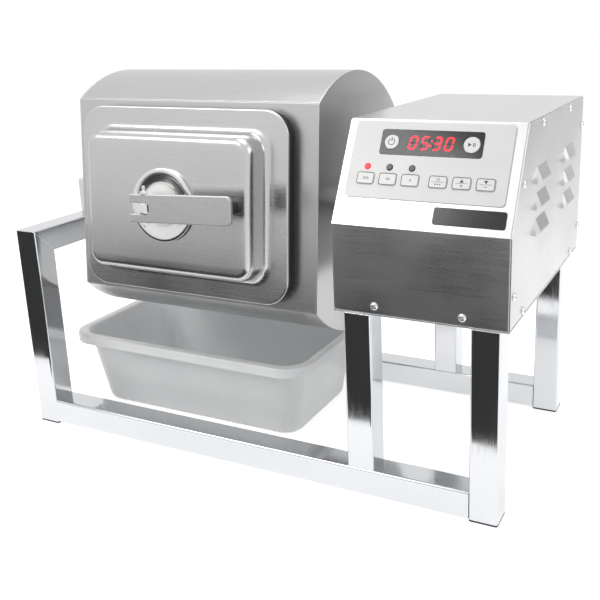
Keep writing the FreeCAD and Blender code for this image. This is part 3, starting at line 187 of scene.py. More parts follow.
def brushed_steel(name, grain="x", shade=0.60, roughness=0.30, edge=0.6 * MM, lines=2600):
    """Stainless sheet with a brushed grain, faint stains and rubbed edges brightened as a painted highlight."""
    surface = Surface(name, Metallic=1.0)
    brush = surface.noise(lines, 3.0, ALONG[grain])
    clouds = surface.noise(9, 2.0)
    worn_and_highlit = surface.edge_wear_and_highlight(edge * 1.6)
    base = surface.tint(surface.spread(brush, 0, 1, 0.25, 0.75),
                        (shade * 0.96,) * 2 + (shade * 0.97,),
                        (shade * 1.03, shade * 1.035, shade * 1.04))
    # painted highlight: the edges are mixed towards a bright steel colour
    bright = surface.add("Mix", data_type="RGBA")
    bright.inputs["B"].default_value = (0.86, 0.87, 0.88, 1)
    surface.link(base, bright.inputs["A"])
    surface.link(surface.spread(worn_and_highlit, 0, 0.7, 0, 1), bright.inputs["Factor"])
    surface.link(bright.outputs["Result"], surface.shader.inputs["Base Color"])
    grainy = surface.spread(brush, roughness - 0.035, roughness + 0.035)
    patchy = surface.spread(clouds, 0.85, 1.18)
    surface.link(surface.multiply(grainy, patchy), surface.shader.inputs["Roughness"])
    surface.bump(brush, 0.01 * MM, 0.12, surface.rounded_normal(edge))
    return surface.material


def polished_steel(name):
    """Mirror-polished tube: almost smooth, with long soft waves, fine wipe marks and edges brightened as a painted
    highlight.
    """
    surface = Surface(name, Metallic=1.0)
    wipes = surface.noise(1500, 2.0, (1, 1, 0.05))
    smears = surface.noise(24, 3.0)
    worn_and_highlit = surface.edge_wear_and_highlight(0.9 * MM)
    # painted highlight: the base colour brightens along the edges
    base = surface.tint(worn_and_highlit, (0.66, 0.67, 0.685), (0.90, 0.91, 0.92))
    surface.link(base, surface.shader.inputs["Base Color"])
    fine = surface.spread(wipes, 0.05, 0.10)
    surface.link(surface.multiply(fine, surface.spread(smears, 0.8, 1.9)), surface.shader.inputs["Roughness"])
    surface.bump(surface.noise(17, 1.0), 0.6 * MM, 0.35, surface.rounded_normal(0.8 * MM))
    return surface.material


def turned_steel(name, shade=0.62, roughness=0.24):
    """Turned or cast metal with a fine, even mottle."""
    surface = Surface(name, Metallic=1.0)
    rings = surface.noise(1800, 2.0)
    base = surface.tint(rings, (shade * 0.88,) * 3, (shade * 1.1,) * 3)
    surface.link(base, surface.shader.inputs["Base Color"])
    surface.link(surface.spread(rings, roughness - 0.06, roughness + 0.08),
                 surface.shader.inputs["Roughness"])
    surface.bump(rings, 0.01 * MM, 0.3, surface.rounded_normal(0.3 * MM))
    return surface.material


def blasted_steel(name, shade=0.55):
    """Bead-blasted bar with polished edges, brightened as a painted highlight."""
    surface = Surface(name, Metallic=1.0)
    pits = surface.noise(1400, 4.0)
    worn_and_highlit = surface.edge_wear_and_highlight(0.7 * MM)
    base = surface.tint(surface.spread(pits, 0, 1), (shade * 0.85,) * 3, (shade * 1.12,) * 3)
    # painted highlight: the edges are mixed towards near-white steel; their lower roughness is the real polish
    bright = surface.add("Mix", data_type="RGBA")
    bright.inputs["B"].default_value = (0.95, 0.95, 0.96, 1)
    surface.link(base, bright.inputs["A"])
    surface.link(worn_and_highlit, bright.inputs["Factor"])
    surface.link(bright.outputs["Result"], surface.shader.inputs["Base Color"])
    surface.link(surface.spread(worn_and_highlit, 0.48, 0.16, 0, 1), surface.shader.inputs["Roughness"])
    surface.bump(pits, 0.03 * MM, 0.6, surface.rounded_normal(0.5 * MM))
    return surface.material


def plastic(name, colour, roughness=0.4, grain=900, depth=0.02, vary=0.12, edge=0.4 * MM, **inputs):
    """Moulded plastic or rubber with a fine surface grain and slightly uneven colour."""
    surface = Surface(name, **inputs)
    fine = surface.noise(grain, 3.0)
    broad = surface.noise(30, 2.0)
    low = [channel * (1 - vary) for channel in colour]
    high = [min(1, channel * (1 + vary)) for channel in colour]
    surface.link(surface.tint(surface.spread(broad, 0, 1), low, high), surface.shader.inputs["Base Color"])
    surface.link(surface.spread(fine, roughness * 0.85, min(1, roughness * 1.2)),
                 surface.shader.inputs["Roughness"])
    surface.bump(fine, depth * MM, 0.5, surface.rounded_normal(edge))
    return surface.material


def glowing(name, colour, strength):
    """A lit lens or digit that glows, a little uneven."""
    surface = Surface(name)
    surface.shader.inputs["Roughness"].default_value = 0.35
    patches = surface.noise(900, 1.0)
    shade = surface.tint(surface.spread(patches, 0, 1), [0.82 * channel for channel in colour], colour)
    surface.link(shade, surface.shader.inputs["Base Color"])
    surface.link(shade, surface.shader.inputs["Emission Color"])
    surface.shader.inputs["Emission Strength"].default_value = strength
    return surface.material


def tray_plastic(name):
    """White food-grade plastic that lets light through softly."""
    surface = Surface(name, IOR=1.49)
    surface.shader.inputs["Subsurface Weight"].default_value = 0.35
    surface.shader.inputs["Subsurface Radius"].default_value = (0.02, 0.02, 0.022)
    surface.shader.inputs["Subsurface Scale"].default_value = 0.4
    broad = surface.noise(14, 2.0)
    surface.link(surface.tint(surface.spread(broad, 0, 1), (0.86, 0.87, 0.88), (0.93, 0.94, 0.945)),
                 surface.shader.inputs["Base Color"])
    fine = surface.noise(260, 2.0)
    surface.link(surface.spread(fine, 0.16, 0.26), surface.shader.inputs["Roughness"])
    surface.bump(surface.noise(40, 1.0), 0.15 * MM, 0.5)
    return surface.material


MATERIALS = {
    "tube": polished_steel("polished_tube"),
    "box": brushed_steel("box_brushed", "x", 0.60, 0.30),
    "drum": brushed_steel("drum_brushed", "x", 0.52, 0.30),
    "lid": brushed_steel("lid_satin", "x", 0.56, 0.27, lines=2200),
    "lever": blasted_steel("lever_blasted"),
    "bright": turned_steel("bright_steel", 0.72, 0.16),
    "turned": turned_steel("turned_steel"),
    "bracket": brushed_steel("bracket_steel", "y", 0.50, 0.36),
    "aluminium": turned_steel("cast_aluminium", 0.60, 0.42),
    "motor": plastic("motor_paint", (0.03, 0.03, 0.034), 0.38),
    "board": plastic("board_green", (0.03, 0.16, 0.07), 0.35),
    "black": plastic("black_plastic", (0.018, 0.018, 0.019), 0.42),
    "nylon": plastic("nylon_white", (0.80, 0.80, 0.77), 0.45, vary=0.03),
    "film": plastic("keypad_film", (0.80, 0.81, 0.80), 0.33, grain=1500, depth=0.006, vary=0.02),
    "cap": plastic("key_cap", (0.84, 0.85, 0.84), 0.30, grain=1500, depth=0.006, vary=0.02),
    "ink": plastic("key_ink", (0.035, 0.035, 0.037), 0.5),
    "window": plastic("window_black", (0.004, 0.004, 0.004), 0.12, grain=200, depth=0.004),
    "digit": glowing("digit_red", (1.0, 0.015, 0.03), 1.3),
    "unlit": plastic("digit_unlit", (0.05, 0.012, 0.008), 0.3),
    "lit_lens": glowing("lens_lit", (0.95, 0.02, 0.05), 0.7),
    "dark_lens": plastic("lens_dark", (0.02, 0.014, 0.014), 0.18),
    "plate": plastic("plate_black", (0.006, 0.006, 0.006), 0.16, grain=300, depth=0.004),
    "rubber": plastic("rubber_black", (0.012, 0.012, 0.012), 0.55),
    "silicone": plastic("silicone_white", (0.86, 0.86, 0.84), 0.38, vary=0.02),
    "tray": tray_plastic("tray_white"),
}

SLOT_LOOKS = {
    "tube_steel": "tube", "box_steel": "box", "drum_steel": "drum", "lid_steel": "lid",
    "lever_steel": "lever", "screw_steel": "bright", "turned_steel": "turned",
    "bracket_steel": "bracket", "cast_aluminium": "aluminium", "motor_paint": "motor",
    "supply_cage": "aluminium", "board": "board", "black_plastic": "black", "nylon": "nylon",
    "keypad": "film", "key": "cap", "window": "window", "lit_led": "lit_lens",
    "idle_led": "dark_lens", "name_plate": "plate", "black_rubber": "rubber",
    "silicone": "silicone", "tray_plastic": "tray",
}


def dress_nodes():
    """Give every CAD node the material of its slot."""
    for entry in frame["record"]["subparts"]:
        node = NODES[entry["node"]]
        look = MATERIALS[SLOT_LOOKS[entry["material_slot"]]]
        if not node.material_slots:
            node.data.materials.append(look)
        for slot in node.material_slots:
            slot.material = look


# ---------------------------------------------------------------- meshes


def smooth(mesh, angle=32):
    """Smooth shading that keeps the edges sharper than the angle."""
    mesh.shade_smooth()
    mesh.set_sharp_from_angle(angle=math.radians(angle))


def finish_mesh(name, builder, angle=32):
    bmesh.ops.recalc_face_normals(builder, faces=builder.faces)
    mesh = bpy.data.meshes.new(name)
    builder.to_mesh(mesh)
    builder.free()
    smooth(mesh, angle)
    return mesh


def piece(name, mesh, place, body, look, replaces=()):
    """One new piece: its mesh in a local frame, its body, material and record slot."""
    item = bpy.data.objects.new(name, mesh)
    bpy.context.scene.collection.objects.link(item)
    item.matrix_world = place
    item.data.materials.append(MATERIALS[look])
    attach(item, body)
    if replaces:
        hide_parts(*replaces)
    return item


def eased(stations, steps=6):
    """A path through stations, with each bend rounded. A station ends with its rounding size.

    A station's first value is its distance out and its last place value is its rise.
    """
    places = [Vector(station[:-1]) for station in stations]
    path = [places[0]]
    for index in range(1, len(places) - 1):
        place, size = places[index], stations[index][-1]
        ends = []
        for other in (places[index - 1], places[index + 1]):
            leg = other - place
            reach = math.hypot(leg[0], leg[-1])
            ends.append(place + leg * min(0.5, size / max(reach, 1e-9)))
        if size <= 0:
            path.append(place)
            continue
        for step in range(steps + 1):
            share = step / steps
            inward = (1 - share) ** 2 * ends[0] + 2 * share * (1 - share) * place
            path.append(inward + share ** 2 * ends[1])
    path.append(places[-1])
    return path


def rounded_ring(half_length, half_height, corner, rise, steps=12):
    """Points round a rectangle with round corners."""
    corner = max(corner, 0.05 * MM)
    points = []
    for quarter, (right, up) in enumerate(((1, 1), (-1, 1), (-1, -1), (1, -1))):
        across, high = right * (half_length - corner), up * (half_height - corner)
        for step in range(steps + 1):
            angle = (quarter + step / steps) * math.pi / 2
            points.append((across + corner * math.cos(angle), high + corner * math.sin(angle), rise))
    return points


def round_ring(radius, rise, count=72):
    turns = [2 * math.pi * step / count for step in range(count)]
    return [(radius * math.cos(turn), radius * math.sin(turn), rise) for turn in turns]


def loft(name, rings, close=True, angle=32):
    """A skin over rings of equal count, closed at both ends by a flat face."""
    builder = bmesh.new()
    loops = [[builder.verts.new(point) for point in ring] for ring in rings]
    for low, high in zip(loops, loops[1:]):
        for index in range(len(low)):
            after = (index + 1) % len(low)
            builder.faces.new((low[index], low[after], high[after], high[index]))
    if close:
        builder.faces.new(list(reversed(loops[0])))
        builder.faces.new(loops[-1])
    return finish_mesh(name, builder, angle)


def pressing(name, stations, angle=32, steps=6):
    """A loft over rounded rectangles: (half length, half height, corner, rise, rounding)."""
    return loft(name, [rounded_ring(*place) for place in eased(stations, steps)], angle=angle)


def turning(name, stations, angle=32, steps=6, count=72):
    """A turned piece: (radius, rise, rounding) from one end cap to the other."""
    return loft(name, [round_ring(*place, count) for place in eased(stations, steps)], angle=angle)


def prism(name, outline, low, high, angle=32):
    """A flat outline of (x, y) points made solid from one height to another."""
    builder = bmesh.new()
    base = [builder.verts.new((x, y, low)) for x, y in outline]
    top = [builder.verts.new((x, y, high)) for x, y in outline]
    builder.faces.new(list(reversed(base)))
    builder.faces.new(top)
    for index in range(len(outline)):
        after = (index + 1) % len(outline)
        builder.faces.new((base[index], base[after], top[after], top[index]))
    return finish_mesh(name, builder, angle)


def joined(name, parts, angle=32):
    """One mesh out of several (mesh, placement) pairs."""
    builder = bmesh.new()
    for mesh, place in parts:
        before = len(builder.verts)
        builder.from_mesh(mesh)
        builder.verts.ensure_lookup_table()
        bmesh.ops.transform(builder, matrix=place, verts=builder.verts[before:])
    return finish_mesh(name, builder, angle)


def carved(name, mesh, tool, operation="DIFFERENCE"):
    """The result of one boolean between two meshes."""
    items = []
    for source in (mesh, tool):
        item = bpy.data.objects.new(name + "_source", source)
        bpy.context.scene.collection.objects.link(item)
        items.append(item)
    cut = items[0].modifiers.new("cut", "BOOLEAN")
    cut.operation = operation
    cut.object = items[1]
    cut.solver = "EXACT"
    bpy.context.view_layer.update()
    depsgraph = bpy.context.evaluated_depsgraph_get()
    result = bpy.data.meshes.new_from_object(items[0].evaluated_get(depsgraph))
    result.name = name
    for item in items:
        bpy.data.objects.remove(item)
    return result


def soften(item, width, segments=3, angle=30):
    """Round a piece's hard edges."""
    bevel = item.modifiers.new("rounded_edges", "BEVEL")
    bevel.width = width
    bevel.segments = segments
    bevel.limit_method = "ANGLE"
    bevel.angle_limit = math.radians(angle)
    bevel.harden_normals = False


def islands(node):
    """Lowest and highest corner of each separate solid of a CAD node."""
    builder = bmesh.new()
    builder.from_mesh(NODES[node].data)
    bmesh.ops.remove_doubles(builder, verts=builder.verts, dist=WELD)
    seen, groups = set(), []
    for start in builder.verts:
        if start in seen:
            continue
        seen.add(start)
        group, queue = [], [start]
        while queue:
            vertex = queue.pop()
            group.append(vertex.co.copy())
            for edge in vertex.link_edges:
                other = edge.other_vert(vertex)
                if other not in seen:
                    seen.add(other)
                    queue.append(other)
        groups.append(corners_of(group))
    builder.free()
    return groups


# ---------------------------------------------------------------- lid and valve

SHEET = 1.5 * MM
HEM = 3.0 * MM
HEM_WIDTH = 6.0 * MM
LID_CORNER = 29 * MM
DOME_HALF_LENGTH = 111 * MM
DOME_HALF_HEIGHT = 79 * MM
DOME_CORNER = 20 * MM
DOME_DRAFT = math.radians(5.5)
# how far the dome's skin runs in past its edge before one flat face closes it
DOME_FLAT = 16 * MM
BEND_STEPS = 8
# half the length of a cutting prism, which is longer than the lever is wide or high
TOOL_REACH = 20 * MM


def make_lid():
    """The pressed lid: a hemmed flange, a rounded root, a drafted wall and a soft-edged dome."""
    low, high = extent("lid_pan", LID)
    half_length, half_height = high.x, high.y
    back, face = low.z, high.z
    web = back + HEM
    lean = (face - web) * math.tan(DOME_DRAFT)
    dome = (DOME_HALF_LENGTH, DOME_HALF_HEIGHT, DOME_CORNER)

    def rim(inset, rise, rounding):
        return (half_length - inset, half_height - inset, LID_CORNER - inset, rise, rounding)

    def wall(inset, rise, rounding):
        return tuple(size - inset for size in dome) + (rise, rounding)

    stations = [
        wall(lean + DOME_FLAT, face - SHEET, 0), wall(lean + SHEET, face - SHEET, 9.5 * MM),
        wall(SHEET, web - SHEET, 6 * MM), rim(HEM_WIDTH, web - SHEET, 0.4 * MM),
        rim(HEM_WIDTH, back, 0.4 * MM), rim(0, back, 0.8 * MM), rim(0, web, 2.2 * MM),
        wall(0, web, 7.5 * MM), wall(lean, face, 11 * MM), wall(lean + DOME_FLAT, face, 0),
    ]
    skin = pressing("lid_pressing", stations, 50, 9)
    piece("lid_pressing", skin, LID, "lid", "lid", ["lid_pan"])


def make_gasket():
    """The rubber frame: two soft lips that bulge between the flange and the drum's flat."""
    low, high = extent("lid_gasket", LID)
    width = 14 * MM
    corner = LID_CORNER - 1.5 * MM

    def ring(inset, rise, rounding):
        return (high.x - inset, high.y - inset, corner - inset, rise, rounding)

    tall = high.z - low.z
    stations = [
        ring(width, low.z, 0), ring(0.8 * MM, low.z, 1.2 * MM), ring(0, low.z + 0.20 * tall, 1.8 * MM),
        ring(1.4 * MM, low.z + 0.5 * tall, 1.8 * MM), ring(0, low.z + 0.80 * tall, 1.8 * MM),
        ring(0.8 * MM, high.z, 1.2 * MM), ring(width, high.z, 0),
    ]
    rings = [rounded_ring(*place) for place in eased(stations)]
    skin = loft("gasket_lips", rings + rings[:1], close=False)
    piece("gasket_lips", skin, LID, "lid", "rubber", ["lid_gasket"])


def make_dish():
    """The turned valve seat: a broad rolled rim round a shallow hollow."""
    low, high = extent("valve_dish", LID)
    radius = high.x
    stations = [
        (radius, low.z, 0), (radius, high.z - 0.6 * MM, 1.2 * MM), (radius - 3.5 * MM, high.z, 2.5 * MM),
        (radius - 8 * MM, high.z - 0.8 * MM, 3 * MM), (radius - 13 * MM, low.z + 1.6 * MM, 3 * MM),
        (6 * MM, low.z + 1.5 * MM, 0),
    ]
    piece("valve_seat", turning("valve_seat", stations, 50, 6, 96), LID, "lid", "bright",
          ["valve_dish"])


def make_plug():
    low, high = extent("valve_plug", LID)
    radius = high.x
    stations = [
        (radius - 1 * MM, low.z, 0), (radius, low.z + 0.8 * MM, 0.8 * MM), (radius, low.z + 2 * MM, 1.5 * MM),
        (radius - 6 * MM, high.z - 1.2 * MM, 6 * MM), (radius - 14 * MM, high.z, 6 * MM), (5 * MM, high.z, 0),
    ]
    piece("valve_plug_dome", turning("valve_plug_dome", stations, 60), LID, "valve", "silicone",
          ["valve_plug"])


def make_lever():
    """A thick bar with round far corners, and a fork whose tails turn down beside the eye."""
    low, high = extent("lever", LEVER)
    thick = 5 * MM
    top = high.z
    under = top - thick
    corner, shoulder = 6 * MM, 3.5 * MM
    slot, depth, chamfer = 6 * MM, 27 * MM, 3 * MM
    end = low.x
    beyond = end - 1 * MM
    bend = [math.pi / 2 * step / BEND_STEPS for step in range(BEND_STEPS + 1)]

    side = [(end, low.z), (end + 6 * MM, low.z), (end + 10 * MM, under), (high.x, under), (high.x, top)]
    for turn in bend:
        side.append((end + shoulder * (1 - math.sin(turn)), top - shoulder * (1 - math.cos(turn))))
    tall = prism("lever_side", side, -TOOL_REACH, TOOL_REACH)
    tall.transform(Matrix.Rotation(math.radians(90), 4, "X"))

    plan = [(beyond, low.y)]
    for sign, turns in ((-1, bend), (1, bend[::-1])):
        for turn in turns:
            across = high.x - corner * (1 - math.sin(turn))
            up = sign * (high.y - corner * (1 - math.cos(turn)))
            plan.append((across, up))
    plan.append((beyond, high.y))
    plan += [(beyond, slot), (end + depth - chamfer, slot), (end + depth, slot - chamfer)]
    plan += [(end + depth, chamfer - slot), (end + depth - chamfer, -slot), (beyond, -slot)]
    flat = prism("lever_plan", plan, -TOOL_REACH, TOOL_REACH)
    bar = carved("lever_bar", tall, flat, "INTERSECT")
    smooth(bar)
    soften(piece("lever_bar", bar, LEVER, "lever", "lever", ["lever"]), 0.9 * MM, 4)


def make_stem():
    """The stem with a round-edged eye in the fork and a collar above the plug."""
    low, high = extent("valve_stem", LEVER)
    eye, eye_half = high.z, 5.4 * MM
    collar, collar_top, rod_radius = 9 * MM, low.z + 5 * MM, 4 * MM
    rod = turning("stem_rod", [(collar, low.z, 0), (collar, collar_top, 0.8 * MM),
                               (rod_radius, collar_top, 0.4 * MM), (rod_radius, 0, 0)])
    ball = turning("stem_eye", [(eye - 1 * MM, -eye_half, 0), (eye, -eye_half, 1.2 * MM),
                                (eye, eye_half, 1.2 * MM), (eye - 1 * MM, eye_half, 0)], 60)
    upright = Matrix.Rotation(math.radians(90), 4, "X")
    mesh = joined("stem_and_eye", [(rod, Matrix()), (ball, upright)])
    piece("stem_and_eye", mesh, LEVER, "valve", "bright", ["valve_stem"])


def hexagon(radius):
    turns = [math.radians(60 * step) for step in range(6)]
    return [(radius * math.cos(turn), radius * math.sin(turn)) for turn in turns]


def thread_profile(radius, low, high, pitch):
    """Stations down a threaded rod: crests and roots, half a pitch apart."""
    stations, rise, crest = [], low, True
    while rise < high:
        stations.append((radius if crest else radius * 0.86, rise, 0))
        rise += pitch / 2
        crest = not crest
    return stations


def make_pin():
    """The hinge pin: a threaded rod with a nut outside each side of the fork."""
    low, high = extent("lever_pin", LEVER)
    half = extent("lever", LEVER)[1].y
    turn = Matrix.Rotation(math.radians(-90), 4, "X")
    rod = turning("pin_rod", thread_profile(2 * MM, low.y, high.y, 0.8 * MM), 20, 1, 24)
    parts = [(rod, turn)]
    for side in (-1, 1):
        start, stop = sorted((side * half, side * (half + 3.2 * MM)))
        parts.append((prism("pin_nut", hexagon(4.5 * MM), start, stop), turn))
    mesh = joined("threaded_pin", parts)
    soften(piece("threaded_pin", mesh, LEVER, "lever", "bright", ["lever_pin"]),
           0.3 * MM, 2, 40)


def make_bumper():
    low, high = extent("lever_bumper", LEVER)
    centre = Matrix.Translation(((low.x + high.x) / 2, 0, 0))
    wide = (high.x - low.x) / 2
    stations = [
        (wide * 0.70, low.z, 0), (wide * 0.78, low.z, 0.6 * MM), (wide * 0.80, low.z + 5 * MM, 2 * MM),
        (wide * 0.95, high.z - 6 * MM, 3 * MM), (wide, high.z - 2 * MM, 1 * MM), (wide, high.z, 0),
    ]
    piece("rubber_foot", turning("rubber_foot", stations, 50), LEVER @ centre, "lever", "rubber",
          ["lever_bumper"])


# ---------------------------------------------------------------- tray

TRAY_WALL = 2.5 * MM
TRAY_LIP = 12 * MM
TRAY_CORNER = 34 * MM
TRAY_FOLD = 12 * MM
TRAY_FLAT = 12 * MM
TRAY_DRAFT = math.radians(9.1)


def make_tray():
    """The drip tray: drafted walls, a flat rim folded down at its edge, and soft corners."""
    low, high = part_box("tray")
    centre = (low + high) / 2
    half_length, half_height = (high.x - low.x) / 2, (high.y - low.y) / 2
    tall = high.z - low.z
    lean = (tall - TRAY_WALL) * math.tan(TRAY_DRAFT)

    def ring(inset, rise, rounding):
        corner = TRAY_CORNER - 0.5 * min(inset, TRAY_LIP) - max(0, inset - TRAY_LIP) * 0.35
        return (half_length - inset, half_height - inset, corner, rise, rounding)

    stations = [
        ring(TRAY_LIP + lean + TRAY_FLAT, 0, 0), ring(TRAY_LIP + lean, 0, 9 * MM),
        ring(TRAY_LIP + 0.25 * lean, tall - 24 * MM, 1 * MM), ring(TRAY_LIP, tall - TRAY_WALL, 2.5 * MM),
        ring(TRAY_WALL, tall - TRAY_WALL, 1.5 * MM), ring(TRAY_WALL, tall - TRAY_FOLD, 0.8 * MM),
        ring(0, tall - TRAY_FOLD, 0.9 * MM), ring(0, tall, 2.6 * MM), ring(TRAY_LIP, tall, 4 * MM),
        ring(TRAY_LIP + TRAY_WALL + 0.22 * lean, tall - 22 * MM, 4 * MM),
        ring(TRAY_LIP + TRAY_WALL + lean, TRAY_WALL, 9 * MM),
        ring(TRAY_LIP + TRAY_WALL + lean + TRAY_FLAT, TRAY_WALL, 0),
    ]
    place = Matrix.Translation((centre.x, centre.y, low.z))
    piece("drip_tray", pressing("drip_tray", stations, 50, 6), place, "tray", "tray",
          ["tray"])


# ---------------------------------------------------------------- screws

# a screw this near the end of the row of screws sits on a side cover
NEAR = 1 * MM
# the turn from one screw's recess to the next, in radians, so that no two look alike
SCREW_TWIST = 17


def make_screws():
    """Pan-head screws with a cross recess, one on each CAD screw."""
    radius, rise = 4.2 * MM, 2.4 * MM
    head = turning("screw_dome", [
        (radius - 0.4 * MM, 0, 0), (radius, 0, 0.3 * MM), (radius, 0.7 * MM, 0.6 * MM),
        (radius * 0.72, rise * 0.93, 1.5 * MM), (radius * 0.2, rise, 0),
    ], 50, 5, 28)
    arm, half = 2.3 * MM, 0.45 * MM
    cross = [(arm, -half), (arm, half), (half, half), (half, arm), (-half, arm), (-half, half),
             (-arm, half), (-arm, -half), (-half, -half), (-half, -arm), (half, -arm), (half, -half)]
    head = carved("screw_head", head, prism("screw_recess", cross, rise * 0.35, rise * 2))
    smooth(head, 40)
    lowest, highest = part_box("panel_screws")
    parts = []
    for low, high in islands("panel_screws"):
        centre = (low + high) / 2
        if high.x > highest.x - NEAR:
            seat, out = Vector((high.x - rise, centre.y, centre.z)), RIGHT
        elif low.x < lowest.x + NEAR:
            seat, out = Vector((low.x + rise, centre.y, centre.z)), -RIGHT
        else:
            seat, out = Vector((centre.x, low.y + rise, centre.z)), Vector((0, -1, 0))
        turn = out.to_track_quat("Z", "Y").to_matrix().to_4x4()
        twist = Matrix.Rotation(SCREW_TWIST * len(parts), 4, "Z")
        parts.append((head, Matrix.Translation(seat) @ turn @ twist))
    mesh = joined("cross_head_screws", parts, 40)
    piece("cross_head_screws", mesh, Matrix(), "frame", "bright", ["panel_screws"])


# ---------------------------------------------------------------- control panel

PRINT = 0.05 * MM
EDGE_INSET = 0.25 * MM
KEYS = ("fast_key", "medium_key", "slow_key", "time_key", "time_up_key", "time_down_key")


def key_place(node):
    """A key's own frame: its centre on its outer face."""
    low, high = extent(node, PANEL)
    centre = (low + high) / 2
    return PANEL @ Matrix.Translation((centre.x, centre.y, high.z)), high - low


def make_key_caps():
    """Soft-edged caps: six rounded rectangles and two discs."""
    for node in KEYS:
        place, size = key_place(node)
        half_length, half_height, corner = size.x / 2, size.y / 2, 2.5 * MM
        stations = [
            (half_length, half_height, corner, -size.z, 0),
            (half_length, half_height, corner, 0, 0.5 * MM),
            (half_length - 1 * MM, half_height - 1 * MM, corner - 1 * MM, 0, 0),
        ]
        cap = pressing(node + "_cap", stations, 60)
        piece(node + "_cap", cap, place, node, "cap", [node])
    for node in ("power_key", "start_stop_key"):
        place, size = key_place(node)
        radius = size.x / 2
        stations = [(radius, -size.z, 0), (radius, 0, 0.6 * MM), (radius - 1.2 * MM, 0, 0)]
        piece(node + "_cap", turning(node + "_cap", stations, 60), place, node, "cap", [node])


def flat_ring(name, outside, inside):
    """A thin printed band between two outlines of equal count."""
    builder = bmesh.new()
    rows = []
    for outline, rise in ((outside, 0.0), (outside, PRINT), (inside, PRINT), (inside, 0.0)):
        rows.append([builder.verts.new((x, y, rise)) for x, y in outline])
    for first, second in zip(rows, rows[1:] + rows[:1]):
        for index in range(len(first)):
            after = (index + 1) % len(first)
            builder.faces.new((first[index], first[after], second[after], second[index]))
    return finish_mesh(name, builder)


def outline_of(half_length, half_height, corner):
    return [point[:2] for point in rounded_ring(half_length, half_height, corner, 0, 6)]


def circle_of(radius, count=40):
    return [point[:2] for point in round_ring(radius, 0, count)]


def band(name, half_length, half_height, corner, width):
    return flat_ring(name, outline_of(half_length, half_height, corner),
                     outline_of(half_length - width, half_height - width, max(corner - width, 0.1 * MM)))


def bar_mark(across, up, length, height):
    corners = ((-1, -1), (1, -1), (1, 1), (-1, 1))
    outline = [(across + x * length / 2, up + y * height / 2) for x, y in corners]
    return prism("mark", outline, 0, PRINT), Matrix()


def triangle_mark(across, up, size, direction):
    """A triangle that points up for a direction of 1 and down for -1."""
    outline = [(across - size, up - direction * size * 0.8), (across + size, up - direction * size * 0.8),
               (across, up + direction * size * 0.9)]
    return prism("mark", outline[::direction], 0, PRINT), Matrix()


def triangle_turned(across, up, size):
    """A triangle that points right."""
    outline = [(across - size * 0.8, up - size), (across + size * 0.9, up), (across - size * 0.8, up + size)]
    return prism("mark", outline, 0, PRINT), Matrix()


def chevron_mark(across, size, width):
    """A chevron that points right."""
    outline = [(across - size / 2, size), (across + size / 2, 0), (across - size / 2, -size),
               (across - size / 2 + width, -size), (across + size / 2 + width, 0),
               (across - size / 2 + width, size)]
    return prism("mark", outline, 0, PRINT), Matrix()


def arc_mark(radius, width, start, stop, across=0.0, up=0.0, steps=28):
    turns = [math.radians(start + (stop - start) * step / steps) for step in range(steps + 1)]
    outline = [(across + radius * math.cos(turn), up + radius * math.sin(turn)) for turn in turns]
    inner = radius - width
    outline += [(across + inner * math.cos(turn), up + inner * math.sin(turn)) for turn in reversed(turns)]
    return prism("mark", outline, 0, PRINT), Matrix()


def key_symbols():
    """Plain marks for each key: speed chevrons, a clock, up, down, power, and start and stop."""
    line = 0.28 * MM
    small = 1.3 * MM
    upper = 2.3 * MM
    divider = bar_mark(0, 0, 12 * MM, line)
    minus = bar_mark(0, -upper, 2 * small, 0.5 * MM)
    return {
        "fast_key": [chevron_mark(step * 2.2 * MM, small, 0.8 * MM) for step in (-1, 0, 1)],
        "medium_key": [chevron_mark(step * 2.2 * MM, small, 0.8 * MM) for step in (-0.5, 0.5)],
        "slow_key": [chevron_mark(0, small, 0.8 * MM)],
        "time_key": [arc_mark(1.7 * MM, line, 0, 360, 0, upper), bar_mark(0, upper + 0.5 * MM, line, 1 * MM),
                     bar_mark(0.4 * MM, upper, 0.9 * MM, line), divider,
                     *(bar_mark(step * 2.4 * MM, -upper, 1.2 * MM, 1.2 * MM) for step in (-1, 0, 1))],
        "time_up_key": [triangle_mark(0, upper, 1.9 * MM, 1), divider, minus,
                        bar_mark(0, -upper, 0.5 * MM, 2 * small)],
        "time_down_key": [triangle_mark(0, upper, 1.9 * MM, -1), divider, minus],
        "power_key": [arc_mark(3.6 * MM, 0.75 * MM, 115, 425), bar_mark(0, 2.6 * MM, 0.75 * MM, 4 * MM)],
        "start_stop_key": [triangle_turned(-1.9 * MM, 0, 2.0 * MM), bar_mark(1.6 * MM, 0, 0.8 * MM, 3.6 * MM),
                           bar_mark(3.2 * MM, 0, 0.8 * MM, 3.6 * MM)],
    }


def make_key_print():
    for node, marks in key_symbols().items():
        place, size = key_place(node)
        parts = list(marks)
        if node in KEYS:
            edge = band("edge", size.x / 2 - EDGE_INSET, size.y / 2 - EDGE_INSET, 2.2 * MM, 0.55 * MM)
            parts.append((edge, Matrix()))
        mesh = joined(node + "_print", parts)
        piece(node + "_print", mesh, place, node, "ink")


# the seven strokes of a digit, as the ends of each stroke on a 1 by 2 grid
STROKES = {
    "top": ((0, 2), (1, 2)), "high_left": ((0, 1), (0, 2)), "high_right": ((1, 1), (1, 2)),
    "middle": ((0, 1), (1, 1)), "low_left": ((0, 0), (0, 1)), "low_right": ((1, 0), (1, 1)),
    "bottom": ((0, 0), (1, 0)),
}
LIT = {
    "0": ("top", "high_left", "high_right", "low_left", "low_right", "bottom"),
    "3": ("top", "high_right", "middle", "low_right", "bottom"),
    "5": ("top", "high_left", "middle", "low_right", "bottom"),
}
DIGIT_WIDTH = 6.6 * MM
DIGIT_HEIGHT = 12.4 * MM
DIGIT_PITCH = 12.2 * MM
STROKE_WIDTH = 1.9 * MM
DIGIT_SLANT = math.tan(math.radians(9))


